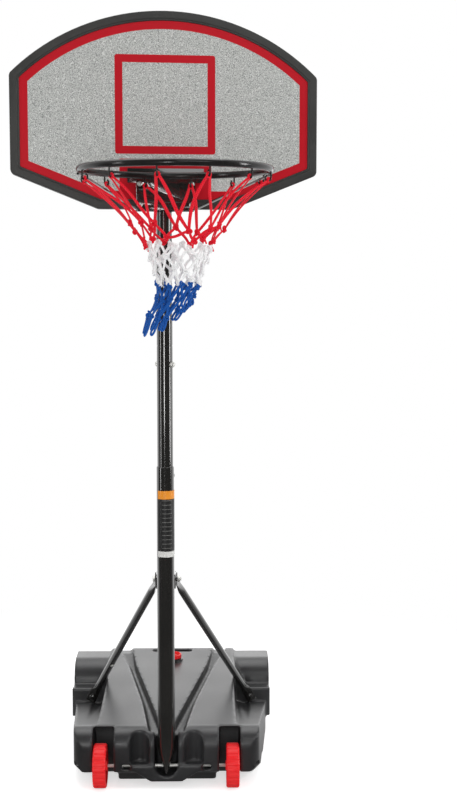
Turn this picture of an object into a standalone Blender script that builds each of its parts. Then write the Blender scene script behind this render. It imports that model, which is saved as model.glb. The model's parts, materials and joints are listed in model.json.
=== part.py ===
# Free-standing junior basketball stand: a blow-moulded ballast tank on two wheels, a telescopic
# steel pole braced by two struts, and a moulded backboard with a rim and a three-coloured net.
# Metres, +Z up, +X to the viewer's right, -Y towards the player. The origin is the centre of the
# tank's flat underside. Most pieces are placed from the pole's axis, through the empties below.
import math

import bmesh
import bpy
from mathutils import Matrix, Vector

# Gap kept between pieces that touch
GAP = 0.0003

# Ballast tank, depths measured backwards from the pole's axis
WEDGE_CREST = 0.555
CREST_TO_REAR = 0.045
TANK_REAR = WEDGE_CREST + CREST_TO_REAR
FLAT_FRONT = 0.100
FLAT_REAR = TANK_REAR - 0.015
POLE_Y = -(FLAT_FRONT + FLAT_REAR) / 2
TANK_WALL = 0.003
TANK_FRONT = -0.015
FRONT_HALF_WIDTH = 0.2265
REAR_HALF_WIDTH = 0.2595
CORNER_RADIUS = 0.025
CHEEK_BOTTOM = 0.042
CHEEK_TOP = 0.145
CHEEK_ROUNDING = 0.045
CHEEK_CORNER = 0.021
CORNER_DROP = 0.002
CORNER_REACH = 0.070
CORNER_STATIONS = (-0.080, 0.100, 0.170, 0.240)
TROUGH_Z = 0.0815
DRUM_REAR = TANK_REAR + 0.006
DRUM_FRONT = DRUM_REAR - 0.206
DRUM_HALF_WIDTH = 0.2715
DRUM_INNER = 0.152
DRUM_BOTTOM = 0.042
DRUM_WALL_TOP = 0.1205
DRUM_LEDGE = 0.055
DRUM_TOP = 0.176
DRUM_ROUNDING = 0.060
REAR_ROUNDING = 0.040
REAR_CHAMFER = 0.018
WEDGE_TOP = 0.186
WEDGE_TOP_HALF = 0.168
WEDGE_FOOT_HALF = 0.178
HIP_TOP_HALF = 0.170
HIP_FOOT_HALF = 0.203
HIP_FOOT_Z = 0.1205
HIP_BACK = 0.0007
HIP_SINK = 0.0002
WEDGE_SINK = 0.0002
NOSE_HALF_WIDTH = 0.0865
NOSE_BOTTOM_HALF = 0.038
NOSE_SIDE = 0.048
NOSE_BOTTOM = 0.018
NOSE_TOP = 0.058
NOSE_DEPTH = 0.050
NOSE_PROUD = 0.004
KEEL_HALF_WIDTH = 0.122
KEEL_FRONT = 0.044
KEEL_HEIGHT = 0.030
KEEL_LIFT = 0.0004
# Each groove's stations: depth from the pole, inner edge, outer lip and floor below the deck
GROOVE = (
    (0.008, 0.0105, 0.0460, 0.0255),
    (0.066, 0.0222, 0.0525, 0.0255),
    (0.186, 0.0466, 0.0690, 0.0255),
    (0.440, 0.0982, 0.1180, 0.0240),
    (0.555, 0.1135, 0.1510, 0.0130),
    (0.640, 0.1240, 0.1600, 0.0130),
)
GROOVE_BANK = 0.007
CHANNEL_X = 0.200
CHANNEL_RADIUS = 0.022
CHANNEL_DEPTH = 0.006
CHANNEL_FRONT = 0.100
CHANNEL_LAP = 0.020
ALCOVE_X = 0.066
ALCOVE_RADIUS = 0.0248
ALCOVE_PROUD = 0.002
ALCOVE_BOTTOM = 0.0615
SLOT_HALF_WIDTH = 0.0285
SLOT_BOTTOM = 0.032
SLOT_DEPTH = 0.034
HANDLE_HALF_WIDTH = 0.055
HANDLE_DEPTH = 0.022
HANDLE_SLOT = 0.016
HANDLE_FRONT = WEDGE_CREST - 0.017

# Filler opening and its screw cap
FILLER_Y = WEDGE_CREST - 0.080
FILLER_TOP = WEDGE_TOP - 0.0030
FILLER_RADIUS = 0.022
FILLER_BOSS = 0.031
FILLER_NECK_BOTTOM = 0.009
SEAL_THICKNESS = 0.002
CAP_RADIUS = 0.027
CAP_HEIGHT = 0.010
CAP_WALL = 0.0035
CAP_PLUG_LENGTH = 0.014
CAP_EDGE = 0.001

# Wheels and axle
AXLE_RADIUS = 0.004
AXLE_CLEARANCE = 0.00025
WHEEL_RADIUS = 0.0535
WHEEL_WIDTH = 0.032
WHEEL_X = 0.1625
WHEEL_HUB_RADIUS = 0.014
WHEEL_HUB_WIDTH = 0.036
WHEEL_RIBS = 22
WHEEL_RIB_DEPTH = 0.0022
WHEEL_RECESS = 0.008
WHEEL_RIM = 0.010
WHEEL_CHAMFER = 0.003
WELL_X = 0.155
WELL_HALF_WIDTH = 0.026
WELL_CLEARANCE = 0.039
AXLE_SLOT = (0.0875, 0.110)
AXLE_SLOT_HALF = 0.0065
AXLE_SLOT_BACK = 0.007
AXLE_CAP_RADIUS = 0.011
AXLE_CAP_LENGTH = 0.008
AXLE_CAP_RECESS = 0.0325
AXLE_CAP_SEAT = 0.002
AXLE_CAP_CHAMFER = 0.002
AXLE_END = 0.005
AXLE_Z = WHEEL_RADIUS

# Telescopic pole
TUBE_WALL = 0.0015
LOWER_RADIUS = 0.021
LOWER_TOP = 0.795
# Pressed foot of the lower pole, in tube radii: rise above the axle, half width, half depth
FOOT_OUTSIDE = (
    (2.86, 1.0, 1.0),
    (1.62, 0.905, 1.133),
    (0.905, 0.676, 1.257),
    (0.286, 0.467, 1.324),
    (-0.286, 0.314, 1.286),
    (-0.643, 0.190, 1.071),
    (-0.833, 0.095, 0.714),
)
FOOT_INSIDE = (
    (0.619, 0.381, 1.214),
    (1.048, 0.619, 1.176),
    (1.714, 0.824, 1.052),
    (2.952, 0.929, 0.929),
)
UPPER_RADIUS = 0.019
MIDDLE_BOTTOM = 0.465
SEAM_Z = 1.085
SPIGOT_LENGTH = 0.090
POLE_SIDES = 24
JOINT_BOLT_Z = 1.041
JOINT_BOLT_TURN = math.radians(48)
POLE_CAP_HEIGHT = 0.0045
POLE_CAP_WALL = 0.003
POLE_CAP_PLUG = 0.018

# Height lock: a welded boss and a hand screw behind the lower pole's top
LOCK_Z = 0.765
LOCK_BOSS_RADIUS = 0.011
LOCK_BOSS_LENGTH = 0.010
LOCK_STUD_RADIUS = 0.004
KNOB_RADIUS = 0.021
KNOB_LENGTH = 0.020
KNOB_GAP = 0.006
KNOB_LOBES = 6
KNOB_LOBE_DEPTH = 0.0022

# Height label on the lower pole
LABEL_BOTTOM = 0.577
LABEL_TOP = 0.738
LABEL_THICKNESS = 0.0004
LABEL_START = math.radians(-55)
LABEL_SWEEP = math.radians(165)

# Struts and their bracket
BRACKET_Z = 0.511
BRACKET_HEIGHT = 0.034
BRACKET_SHEET = 0.0025
BRACKET_REACH = 0.050
BRACKET_HUG = 0.006
STRUT_BOLT_Y = 0.038
STRUT_RADIUS = 0.0095
STRUT_WALL = 0.0012
TAB_THICKNESS = 0.0032
TAB_WIDTH = 0.024
TAB_END = 0.013
FOOT_X = 0.216
FOOT_Z = 0.098
FOOT_TAB_WIDTH = 0.027
STRUT_ELBOW = 0.018
STRUT_TOP_BEND = 0.032
STRUT_FOOT_BEND = 0.060
STRUT_SCREW_PLACE = 0.675
STRUT_SCREW_FACING = (0.45, 0.2)

# Fasteners
BOLT_RADIUS = 0.004
BOLT_HOLE = 0.0045
BOLT_FLATS = 0.013
BOLT_HEAD = 0.0053
BOLT_TAIL = 0.003
NUT_HEIGHT = 0.0065
SCREW_RADIUS = 0.0025
SCREW_HEAD_RADIUS = 0.0052
FOOT_BOLT_HEAD = 0.0085
RIM_BOLT_HEAD = 0.0064
DOME_HEIGHT = 0.0038

# Backboard
HEAD_TURN = math.radians(6.2)
BOARD_WIDTH = 0.710
BOARD_HEIGHT = 0.450
BOARD_TOP = 1.855
BOARD_THICKNESS = 0.034
BOARD_WALL = 0.003
BOARD_ARC = 0.505
SIDE_DROP = 0.370
BOARD_FLAT = 0.310
BOARD_ROUNDING = 0.014
PANEL_ROUNDING = 0.006
LIP_WIDTH = 0.022
LIP_HEIGHT = 0.002
EDGE_CHAMFER = 0.003
PANEL_THICKNESS = 0.0015
PANEL_GAP = 0.0005
RIB_THICKNESS = 0.003
RIB_SPACING_X = 0.125
RIB_SPACING_Z = 0.160
SPINE_WIDTH = 0.032
BOSS_RADIUS = 0.009

# Rim and its fixing
RIM_RADIUS = 0.202
RIM_TUBE = 0.0075
RIM_WALL = 0.0013
RIM_DROP = 0.378
RIM_GAP = 0.118
RIM_STEPS = 40
VENT_RADIUS = 0.002
HOOKS = 12
HOOK_WIRE = 0.00175
HOOK_CURL = 0.006
HOOK_DROP = 0.0125
PLATE_WIDTH = 0.137
PLATE_DROP = 0.075
PLATE_RISE = 0.021
SHELF_WIDTH = 0.177
SHELF_APRON = 0.012
SHELF_REACH = 0.8
PLATE_SHEET = 0.003
RIM_BOLT_X = 0.060
LOW_BOLT_DROP = 0.0625
HIGH_BOLT_DROP = 0.0145
STRAP_SHEET = 0.0025
STRAP_MARGIN = 0.0140
BRACE_RADIUS = 0.003
BRACE_TURN = math.radians(90)
BRACE_INSET = 0.0025
BRACE_LAP = 0.007

# Net: each row of knots as a share of the drop below the rim and of the rim's radius
NET_CORD = 0.0045
NET_KNOT = 0.007
NET_SAG = 0.008
NET_LOOP_HALF = 0.006
NET_DROP = 0.353
NET_RED = ((0.348, 0.500), (0.433, 0.371))
NET_WHITE = ((0.456, 0.351), (0.530, 0.297), (0.603, 0.257), (0.671, 0.233))
NET_BLUE = ((0.694, 0.228), (0.785, 0.213), (0.881, 0.198), (0.975, 0.168))
NET_LEAN = 0.040
NET_SWAY = 0.007
NET_SWAY_DROP = 0.45
LEAN_DROP = 0.232

# Values that follow from the sizes above
WELL_RADIUS = WHEEL_RADIUS + WELL_CLEARANCE
LOWER_BORE = LOWER_RADIUS - TUBE_WALL
UPPER_BORE = UPPER_RADIUS - TUBE_WALL
SPIGOT_RADIUS = UPPER_BORE - GAP
SPIGOT_BORE = SPIGOT_RADIUS - TUBE_WALL
BOARD_BACK = -(UPPER_RADIUS + GAP)
BOARD_FRONT = BOARD_BACK - BOARD_THICKNESS
BOARD_BOTTOM = BOARD_TOP - BOARD_HEIGHT
TOP_POLE_TOP = BOARD_BOTTOM + 0.215
RIM_Z = BOARD_TOP - RIM_DROP
PANEL_BACK = BOARD_FRONT + LIP_HEIGHT + PANEL_THICKNESS
PLATE_BACK = BOARD_FRONT - GAP
PLATE_FRONT = PLATE_BACK - PLATE_SHEET
PLATE_BOTTOM = RIM_Z - PLATE_DROP
RIM_REACH = RIM_RADIUS + RIM_GAP
RIM_BOLT_LOW = RIM_Z - LOW_BOLT_DROP
RIM_BOLT_HIGH = RIM_Z - HIGH_BOLT_DROP
STRAP_BOTTOM = RIM_BOLT_LOW - STRAP_MARGIN
STRAP_TOP = RIM_BOLT_HIGH + STRAP_MARGIN
BRACE_PLATE_X = PLATE_WIDTH / 2 - BRACE_INSET
BRACE_PLATE_Z = PLATE_BOTTOM + BRACE_INSET
NET_BOTTOM = RIM_Z - NET_DROP
NET_LEAN_TOP = RIM_Z - LEAN_DROP
HOOK_Z = RIM_Z - RIM_TUBE - HOOK_DROP
HOOK_R = RIM_RADIUS + HOOK_CURL - 0.004
NET_R = HOOK_R - HOOK_CURL

PARTS = None
CUTTERS = None


def clear_scene():
    for obj in list(bpy.data.objects):
        bpy.data.objects.remove(obj, do_unlink=True)


def new_collection(name):
    collection = bpy.data.collections.new(name)
    bpy.context.scene.collection.children.link(collection)
    return collection


def paint(name, colour, roughness, metallic=0.0):
    material = bpy.data.materials.new(name)
    material.use_nodes = True
    shader = material.node_tree.nodes["Principled BSDF"]
    shader.inputs["Base Color"].default_value = (*colour, 1)
    shader.inputs["Roughness"].default_value = roughness
    shader.inputs["Metallic"].default_value = metallic
    material.diffuse_color = (*colour, 1)
    return material


def empty(name, location, turn=0.0):
    obj = bpy.data.objects.new(name, None)
    obj.location = location
    obj.rotation_euler = (0, 0, turn)
    PARTS.objects.link(obj)
    return obj


def place(name, mesh, parent, material=None):
    # A piece with no material is a cutter or a guide
    obj = bpy.data.objects.new(name, mesh)
    obj.parent = parent
    if material is None:
        CUTTERS.objects.link(obj)
        obj.hide_render = True
        obj.display_type = "WIRE"
    else:
        PARTS.objects.link(obj)
        mesh.materials.append(material)
    return obj


def bmesh_to_mesh(bm, name, smooth=False):
    bmesh.ops.recalc_face_normals(bm, faces=bm.faces)
    if bm.calc_volume(signed=True) < 0:
        bmesh.ops.reverse_faces(bm, faces=bm.faces)
    mesh = bpy.data.meshes.new(name)
    bm.to_mesh(mesh)
    bm.free()
    if smooth:
        mesh.shade_smooth()
        mesh.set_sharp_from_angle(angle=math.radians(40))
    return mesh


def curve_to_mesh(curve, name, matrix=None):
    holder = bpy.data.objects.new(name + "_curve", curve)
    CUTTERS.objects.link(holder)
    view = bpy.context.evaluated_depsgraph_get()
    mesh = bpy.data.meshes.new_from_object(holder.evaluated_get(view))
    bpy.data.objects.remove(holder, do_unlink=True)
    if matrix is not None:
        mesh.transform(matrix)
    bm = bmesh.new()
    bm.from_mesh(mesh)
    bmesh.ops.remove_doubles(bm, verts=bm.verts, dist=0.00001)
    bpy.data.meshes.remove(mesh)
    return bmesh_to_mesh(bm, name, smooth=True)


def box(name, low, high, parent, material=None):
    low = Vector(low)
    high = Vector(high)
    bm = bmesh.new()
    bmesh.ops.create_cube(bm, size=1)
    bmesh.ops.scale(bm, vec=high - low, verts=bm.verts)
    bmesh.ops.translate(bm, vec=(low + high) / 2, verts=bm.verts)
    return place(name, bmesh_to_mesh(bm, name), parent, material)


def slanted_box(name, start, end, width, height, parent):
    # A box that stands on the line from start to end, as wide as width
    start = Vector(start)
    along = (Vector(end) - start).normalized()
    side = Vector((0, 0, 1)).cross(along).normalized()
    up = along.cross(side)
    length = (Vector(end) - start).length
    bm = bmesh.new()
    bmesh.ops.create_cube(bm, size=1)
    bmesh.ops.scale(bm, vec=(length, width, height), verts=bm.verts)
    bmesh.ops.translate(bm, vec=(length / 2, 0, height / 2), verts=bm.verts)
    frame = Matrix((along, side, up)).transposed().to_4x4()
    bm.transform(Matrix.Translation(start) @ frame)
    return place(name, bmesh_to_mesh(bm, name), parent)


def add_rod(bm, start, end, radius, sides):
    start = Vector(start)
    end = Vector(end)
    axis = end - start
    turn = axis.to_track_quat("Z", "Y").to_matrix().to_4x4()
    matrix = Matrix.Translation((start + end) / 2) @ turn
    bmesh.ops.create_cone(bm, cap_ends=True, segments=sides, radius1=radius,
                          radius2=radius, depth=axis.length, matrix=matrix)


def rods(name, lines, radius, parent, material=None, sides=20):
    bm = bmesh.new()
    for start, end in lines:
        add_rod(bm, start, end, radius, sides)
    return place(name, bmesh_to_mesh(bm, name, smooth=True), parent, material)


def prism(name, outline, plane, low, high, parent, material=None):
    # The outline lies in plane "YZ", "XZ" or "XY" and is pushed along the third axis
    curve = bpy.data.curves.new(name, "CURVE")
    curve.dimensions = "2D"
    curve.fill_mode = "BOTH"
    curve.extrude = (high - low) / 2
    spline = curve.splines.new("POLY")
    spline.points.add(len(outline) - 1)
    for point, (x, y) in zip(spline.points, outline):
        point.co = (x, y, 0, 1)
    spline.use_cyclic_u = True
    middle = (low + high) / 2
    turns = {
        "XY": Matrix.Translation((0, 0, middle)),
        "YZ": Matrix(((0, 0, 1, middle), (1, 0, 0, 0), (0, 1, 0, 0), (0, 0, 0, 1))),
        "XZ": Matrix(((1, 0, 0, 0), (0, 0, -1, middle), (0, 1, 0, 0), (0, 0, 0, 1))),
    }
    return place(name, curve_to_mesh(curve, name, turns[plane]), parent, material)


def wire(name, points, radius, parent, material=None, resolution=2):
    curve = bpy.data.curves.new(name, "CURVE")
    curve.dimensions = "3D"
    curve.bevel_depth = radius
    curve.bevel_resolution = resolution
    curve.use_fill_caps = True
    spline = curve.splines.new("POLY")
    spline.points.add(len(points) - 1)
    for point, place_at in zip(spline.points, points):
        point.co = (*place_at, 1)
    return place(name, curve_to_mesh(curve, name), parent, material)


def turned(name, profile, parent, material=None, at=(0, 0, 0), along=(0, 0, 1), steps=24,
           closed=True):
    # The profile is (radius, height) pairs, down the outside and up the inside
    bm = bmesh.new()
    verts = [bm.verts.new((radius, 0, height)) for radius, height in profile]
    for first, second in zip(verts, verts[1:]):
        bm.edges.new((first, second))
    if closed:
        bm.edges.new((verts[-1], verts[0]))
    mesh = bpy.data.meshes.new(name)
    bm.to_mesh(mesh)
    bm.free()
    obj = place(name, mesh, parent, material)
    obj.location = at
    obj.rotation_mode = "QUATERNION"
    obj.rotation_quaternion = Vector(along).to_track_quat("Z", "Y")
    screw = obj.modifiers.new("Turn", "SCREW")
    screw.steps = steps
    screw.render_steps = steps
    screw.use_merge_vertices = True
    screw.merge_threshold = 0.00001
    screw.use_smooth_shade = True
    return obj


def ring(centre, across, up, count=16, power=1.0):
    # An ellipse through centre +- across and centre +- up; a small power squares it off
    points = []
    for k in range(count):
        angle = math.tau * k / count
        c = math.cos(angle)
        s = math.sin(angle)
        side = math.copysign(abs(c) ** power, c) if abs(c) > 1e-9 else 0.0
        rise = math.copysign(abs(s) ** power, s) if abs(s) > 1e-9 else 0.0
        points.append(Vector(centre) + Vector(across) * side + Vector(up) * rise)
    return points


def loft(name, rings, parent, material=None, wrap=False):
    bm = bmesh.new()
    rows = [[bm.verts.new(point) for point in points] for points in rings]
    pairs = list(zip(rows, rows[1:]))
    if wrap:
        pairs.append((rows[-1], rows[0]))
    for first, second in pairs:
        count = len(first)
        for k in range(count):
            after = (k + 1) % count
            bm.faces.new((first[k], first[after], second[after], second[k]))
    if not wrap:
        bm.faces.new(rows[0])
        bm.faces.new(rows[-1])
    return place(name, bmesh_to_mesh(bm, name, smooth=True), parent, material)


def combine(target, tool, operation="DIFFERENCE"):
    modifier = target.modifiers.new(tool.name, "BOOLEAN")
    modifier.operation = operation
    modifier.object = tool
    return target


def arc(centre, radius, start, end, steps):
    # Points from angle start to angle end in degrees, both ends included
    points = []
    for k in range(steps + 1):
        angle = math.radians(start + (end - start) * k / steps)
        points.append((centre[0] + radius * math.cos(angle), centre[1] + radius * math.sin(angle)))
    return points


def fillet(corners, radius, steps=4):
    # Rounds the corners of an outline; a corner keeps its edge where the turn is slight
    outline = []
    count = len(corners)
    for k in range(count):
        before = Vector(corners[k - 1])
        corner = Vector(corners[k])
        after = Vector(corners[(k + 1) % count])
        back = (before - corner).normalized()
        forth = (after - corner).normalized()
        half = back.angle(forth) / 2
        if half > math.radians(80) or radius == 0:
            outline.append(tuple(corner))
            continue
        reach = radius / math.tan(half)
        centre = corner + (back + forth).normalized() * (radius / math.sin(half))
        first = corner + back * reach - centre
        last = corner + forth * reach - centre
        for j in range(steps + 1):
            blend = first.lerp(last, j / steps).normalized() * radius
            outline.append(tuple(centre + blend))
    return outline


def inset(outline, distance):
    # Moves every side of an anticlockwise outline inwards by distance
    moved = []
    count = len(outline)
    for k in range(count):
        before = Vector(outline[k - 1])
        corner = Vector(outline[k])
        after = Vector(outline[(k + 1) % count])
        first = (corner - before).normalized()
        second = (after - corner).normalized()
        inward_first = Vector((-first.y, first.x))
        inward_second = Vector((-second.y, second.x))
        middle = (inward_first + inward_second).normalized()
        moved.append(tuple(corner + middle * (distance / middle.dot(inward_first))))
    return moved


def hexagon(centre, across, up, flats, count=12):
    points = []
    for k in range(count):
        angle = math.tau * k / count
        turn = (angle + math.pi / 6) % (math.pi / 3) - math.pi / 6
        radius = flats / 2 / math.cos(turn)
        points.append(centre + across * radius * math.cos(angle) + up * radius * math.sin(angle))
    return points


def cross_axes(along):
    along = Vector(along).normalized()
    helper = Vector((0, 0, 1)) if abs(along.z) < 0.9 else Vector((1, 0, 0))
    across = along.cross(helper).normalized()
    return across, along.cross(across)


def bolt(name, seat, along, length, parent, material, radius=BOLT_RADIUS):
    # Hex-head bolt: the head's underside lies on seat and the shank runs along the direction
    seat = Vector(seat)
    along = Vector(along).normalized()
    across, up = cross_axes(along)
    top = seat - along * BOLT_HEAD
    rings = [
        hexagon(top, across, up, BOLT_FLATS * 0.9),
        hexagon(top + along * BOLT_HEAD * 0.15, across, up, BOLT_FLATS),
        hexagon(seat, across, up, BOLT_FLATS),
        ring(seat, across * radius, up * radius, 12),
        ring(seat + along * length, across * radius, up * radius, 12),
    ]
    return loft(name, rings, parent, material)


def nut(name, seat, along, parent, material, height=NUT_HEIGHT):
    # Hex nut standing on seat, with a plain bore that clears the bolt
    seat = Vector(seat)
    along = Vector(along).normalized()
    across, up = cross_axes(along)
    bore = BOLT_RADIUS + GAP
    top = seat + along * height
    rings = [
        hexagon(seat, across, up, BOLT_FLATS),
        hexagon(top - along * height * 0.12, across, up, BOLT_FLATS),
        hexagon(top, across, up, BOLT_FLATS * 0.92),
        ring(top, across * bore, up * bore, 12),
        ring(seat, across * bore, up * bore, 12),
    ]
    return loft(name, rings, parent, material, wrap=True)


def dome_bolt(name, seat, along, shank_radius, length, head_radius, head_height, parent, material):
    # Round-head bolt or screw, turned about its own axis
    back = [
        (0, head_height),
        (head_radius * 0.55, head_height * 0.86),
        (head_radius * 0.9, head_height * 0.45),
        (head_radius, 0),
        (shank_radius, 0),
        (shank_radius, -length),
        (0, -length),
    ]
    outward = -Vector(along)
    return turned(name, back, parent, material, at=seat, along=outward, steps=12, closed=False)


def side_profile():
    # Side view of the tank beside the centre: the cheeks, the sloping deck and the underside
    top = arc((TANK_FRONT + CHEEK_ROUNDING, CHEEK_TOP - CHEEK_ROUNDING), CHEEK_ROUNDING, 90, 180, 6)
    return [
        (FLAT_FRONT, 0),
        (FLAT_REAR, 0),
        (TANK_REAR, REAR_CHAMFER),
        (TANK_REAR, TROUGH_Z),
        (DRUM_FRONT, TROUGH_Z),
        *top,
        (TANK_FRONT, CHEEK_BOTTOM),
    ]


def deck_z(y):
    # Height of the raised centre at a depth behind its rounded front
    start = TANK_FRONT + CHEEK_ROUNDING
    return CHEEK_TOP + (WEDGE_TOP - CHEEK_TOP) * (y - start) / (WEDGE_CREST - start)


def strip_z(y):
    # Height of the deck beside the raised centre, which falls towards the drum
    start = TANK_FRONT + CHEEK_ROUNDING
    return CHEEK_TOP + (TROUGH_Z - CHEEK_TOP) * (y - start) / (DRUM_FRONT - start)


def drum_profile():
    # The raised rear hump: a short wall, a ledge, then a round shoulder and a nearly flat top
    shoulder_y = DRUM_FRONT + DRUM_LEDGE
    shoulder = arc((shoulder_y + DRUM_ROUNDING, DRUM_TOP - DRUM_ROUNDING), DRUM_ROUNDING, 90, 180, 7)
    back = arc((DRUM_REAR - REAR_ROUNDING, DRUM_TOP - REAR_ROUNDING), REAR_ROUNDING, 0, 90, 5)
    return [
        (DRUM_FRONT, DRUM_BOTTOM),
        (DRUM_REAR, DRUM_BOTTOM),
        *back,
        *shoulder,
        (DRUM_FRONT, DRUM_WALL_TOP),
    ]


def wedge_profile():
    # The raised centre, rising from the rounded front to the rear
    back = arc((TANK_REAR - REAR_ROUNDING, WEDGE_TOP - REAR_ROUNDING), REAR_ROUNDING, 0, 80, 5)
    start = TANK_FRONT + CHEEK_ROUNDING
    return [
        (start, NOSE_TOP - WEDGE_SINK),
        (TANK_REAR, NOSE_TOP - WEDGE_SINK),
        *back,
        (WEDGE_CREST, WEDGE_TOP),
        (start, CHEEK_TOP - WEDGE_SINK),
    ]


def tank_plan():
    corners = [
        (-FRONT_HALF_WIDTH, TANK_FRONT),
        (FRONT_HALF_WIDTH, TANK_FRONT),
        (REAR_HALF_WIDTH, DRUM_FRONT),
        (REAR_HALF_WIDTH, TANK_REAR),
        (-REAR_HALF_WIDTH, TANK_REAR),
        (-REAR_HALF_WIDTH, DRUM_FRONT),
    ]
    return fillet(corners, CORNER_RADIUS, 4)


def hip_section():
    # Seen from the front, the raised centre spreads out over the drums
    lean = (HIP_FOOT_HALF - HIP_TOP_HALF) / (WEDGE_TOP - HIP_FOOT_Z)
    low = HIP_FOOT_HALF + lean * (HIP_FOOT_Z - NOSE_TOP)
    high = HIP_TOP_HALF - lean * CHEEK_ROUNDING
    return [
        (-low, NOSE_TOP),
        (low, NOSE_TOP),
        (high, WEDGE_TOP + CHEEK_ROUNDING),
        (-high, WEDGE_TOP + CHEEK_ROUNDING),
    ]


def wedge_section():
    # Seen from the front, the raised centre's sides lean inwards
    lean = (WEDGE_FOOT_HALF - WEDGE_TOP_HALF) / (WEDGE_TOP - TROUGH_Z)
    low = WEDGE_FOOT_HALF + lean * (TROUGH_Z - NOSE_TOP)
    high = WEDGE_TOP_HALF - lean * CHEEK_ROUNDING
    return [
        (-low, NOSE_TOP),
        (low, NOSE_TOP),
        (high, WEDGE_TOP + CHEEK_ROUNDING),
        (-high, WEDGE_TOP + CHEEK_ROUNDING),
    ]


def nose_section():
    return [
        (-NOSE_BOTTOM_HALF, NOSE_BOTTOM),
        (NOSE_BOTTOM_HALF, NOSE_BOTTOM),
        (NOSE_HALF_WIDTH, NOSE_SIDE),
        (NOSE_HALF_WIDTH, NOSE_TOP),
        (-NOSE_HALF_WIDTH, NOSE_TOP),
        (-NOSE_HALF_WIDTH, NOSE_SIDE),
    ]


def tank_form(name, wall, parent, material=None):
    # The tank's outside at wall 0, and its hollow at the wall's thickness
    wide = DRUM_HALF_WIDTH + 0.1
    tall = WEDGE_TOP + 0.1
    form = prism(name, inset(side_profile(), wall), "YZ", -wide, wide, parent, material)
    plan = prism(name + "_plan", inset(tank_plan(), wall), "XY", -tall, tall, parent)
    combine(form, plan, "INTERSECT")
    wedge = prism(name + "_wedge", inset(wedge_profile(), wall), "YZ", -wide, wide, parent)
    wedge_edge = prism(name + "_wedge_section", inset(wedge_section(), wall), "XZ", -wide, 1.0, parent)
    combine(wedge, wedge_edge, "INTERSECT")
    combine(form, wedge, "UNION")
    nose = prism(name + "_nose", inset(nose_section(), wall), "XZ", TANK_FRONT - NOSE_PROUD + wall,
                 NOSE_DEPTH, parent)
    combine(form, nose, "UNION")
    hip = prism(name + "_hip", inset(wedge_profile(), wall + HIP_SINK), "YZ", -wide, wide, parent)
    hip_edge = prism(name + "_hip_section", inset(hip_section(), wall), "XZ", DRUM_FRONT + HIP_BACK + wall, 1.0,
                     parent)
    combine(hip, hip_edge, "INTERSECT")
    keel = box(name + "_keel", (-KEEL_HALF_WIDTH + wall, KEEL_FRONT + wall, wall + KEEL_LIFT),
               (KEEL_HALF_WIDTH - wall, FLAT_FRONT + KEEL_FRONT, KEEL_HEIGHT), parent)
    combine(form, keel, "UNION")
    for side in (-1, 1):
        ends = sorted((side * (DRUM_INNER + wall), side * (DRUM_HALF_WIDTH - wall)))
        label = name + ("_left" if side < 0 else "_right")
        combine(form, channel_tool(label, side, wall, parent))
        drum = prism(label + "_drum", inset(drum_profile(), wall), "YZ", ends[0], ends[1], parent)
        combine(form, drum, "UNION")
    combine(form, hip, "UNION")
    for side in (-1, 1):
        cut_side(form, name + ("_left" if side < 0 else "_right"), side, wall, parent)
    slot_radius = SLOT_HALF_WIDTH + wall
    slot_centre = SLOT_BOTTOM + SLOT_HALF_WIDTH
    slot_outline = arc((0, slot_centre), slot_radius, 180, 360, 10)
    slot_outline += [(slot_radius, tall), (-slot_radius, tall)]
    slot = prism(name + "_slot", slot_outline, "XZ", TANK_FRONT - 0.1, SLOT_DEPTH + wall, parent)
    combine(form, slot)
    half = HANDLE_HALF_WIDTH + wall
    grip = box(name + "_grip", (-half, HANDLE_FRONT - wall, WEDGE_TOP - HANDLE_DEPTH - wall),
               (half, HANDLE_FRONT + HANDLE_SLOT + wall, tall), parent)
    combine(form, grip)
    return form


def channel_tool(label, side, wall, parent):
    # A shallow round channel in the deck, deepest in front of the drum, which closes its end
    front = Vector((side * CHANNEL_X, CHANNEL_FRONT, strip_z(CHANNEL_FRONT) + CHANNEL_RADIUS))
    rear = Vector((side * CHANNEL_X, DRUM_FRONT, TROUGH_Z + CHANNEL_RADIUS - CHANNEL_DEPTH))
    end = rear + (rear - front).normalized() * CHANNEL_LAP
    return rods(label + "_channel", [(front, end)], CHANNEL_RADIUS + wall, parent, sides=20)


def cut_side(form, label, side, wall, parent):
    # The wheel well, alcove, axle slot and groove on one side, grown by the wall for the hollow
    tall = WEDGE_TOP + 0.1
    radius = WELL_RADIUS + wall
    outline = arc((0, AXLE_Z), radius, 0, 180, 12) + [(-radius, -0.1), (radius, -0.1)]
    half = WELL_HALF_WIDTH + wall
    well = prism(label + "_well", outline, "YZ", side * WELL_X - half, side * WELL_X + half, parent)
    combine(form, well)
    alcove_y = TANK_FRONT - ALCOVE_PROUD
    alcove = rods(label + "_alcove", [((side * ALCOVE_X, alcove_y, ALCOVE_BOTTOM - wall),
                                       (side * ALCOVE_X, alcove_y, tall))],
                  ALCOVE_RADIUS + wall, parent, sides=24)
    combine(form, alcove)
    near, far = sorted((side * (AXLE_SLOT[0] - wall), side * (AXLE_SLOT[1] + wall)))
    reach = AXLE_SLOT_HALF + wall
    slot = box(label + "_axle_slot", (near, TANK_FRONT - 0.1, AXLE_Z - reach),
               (far, AXLE_SLOT_BACK + wall, AXLE_Z + reach), parent)
    combine(form, slot)
    combine(form, groove_tool(label, side, wall, parent))
    combine(form, corner_tool(label, side, wall, parent))


def groove_tool(label, side, wall, parent):
    # The groove beside the raised middle: a steep inner side, a sloping outer bank, shallow at the rear
    rings = []
    for y, inner, lip, depth in GROOVE:
        deck = min(deck_z(y), WEDGE_TOP)
        floor = deck - depth - wall
        foot = lip - GROOVE_BANK + wall
        section = [
            (inner - wall, floor),
            (foot, floor),
            (lip + wall, deck),
            (lip + wall, deck + 0.1),
            (inner - wall, deck + 0.1),
        ]
        rings.append([Vector((side * x, y, z)) for x, z in section])
    return loft(label + "_groove", rings, parent)


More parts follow.
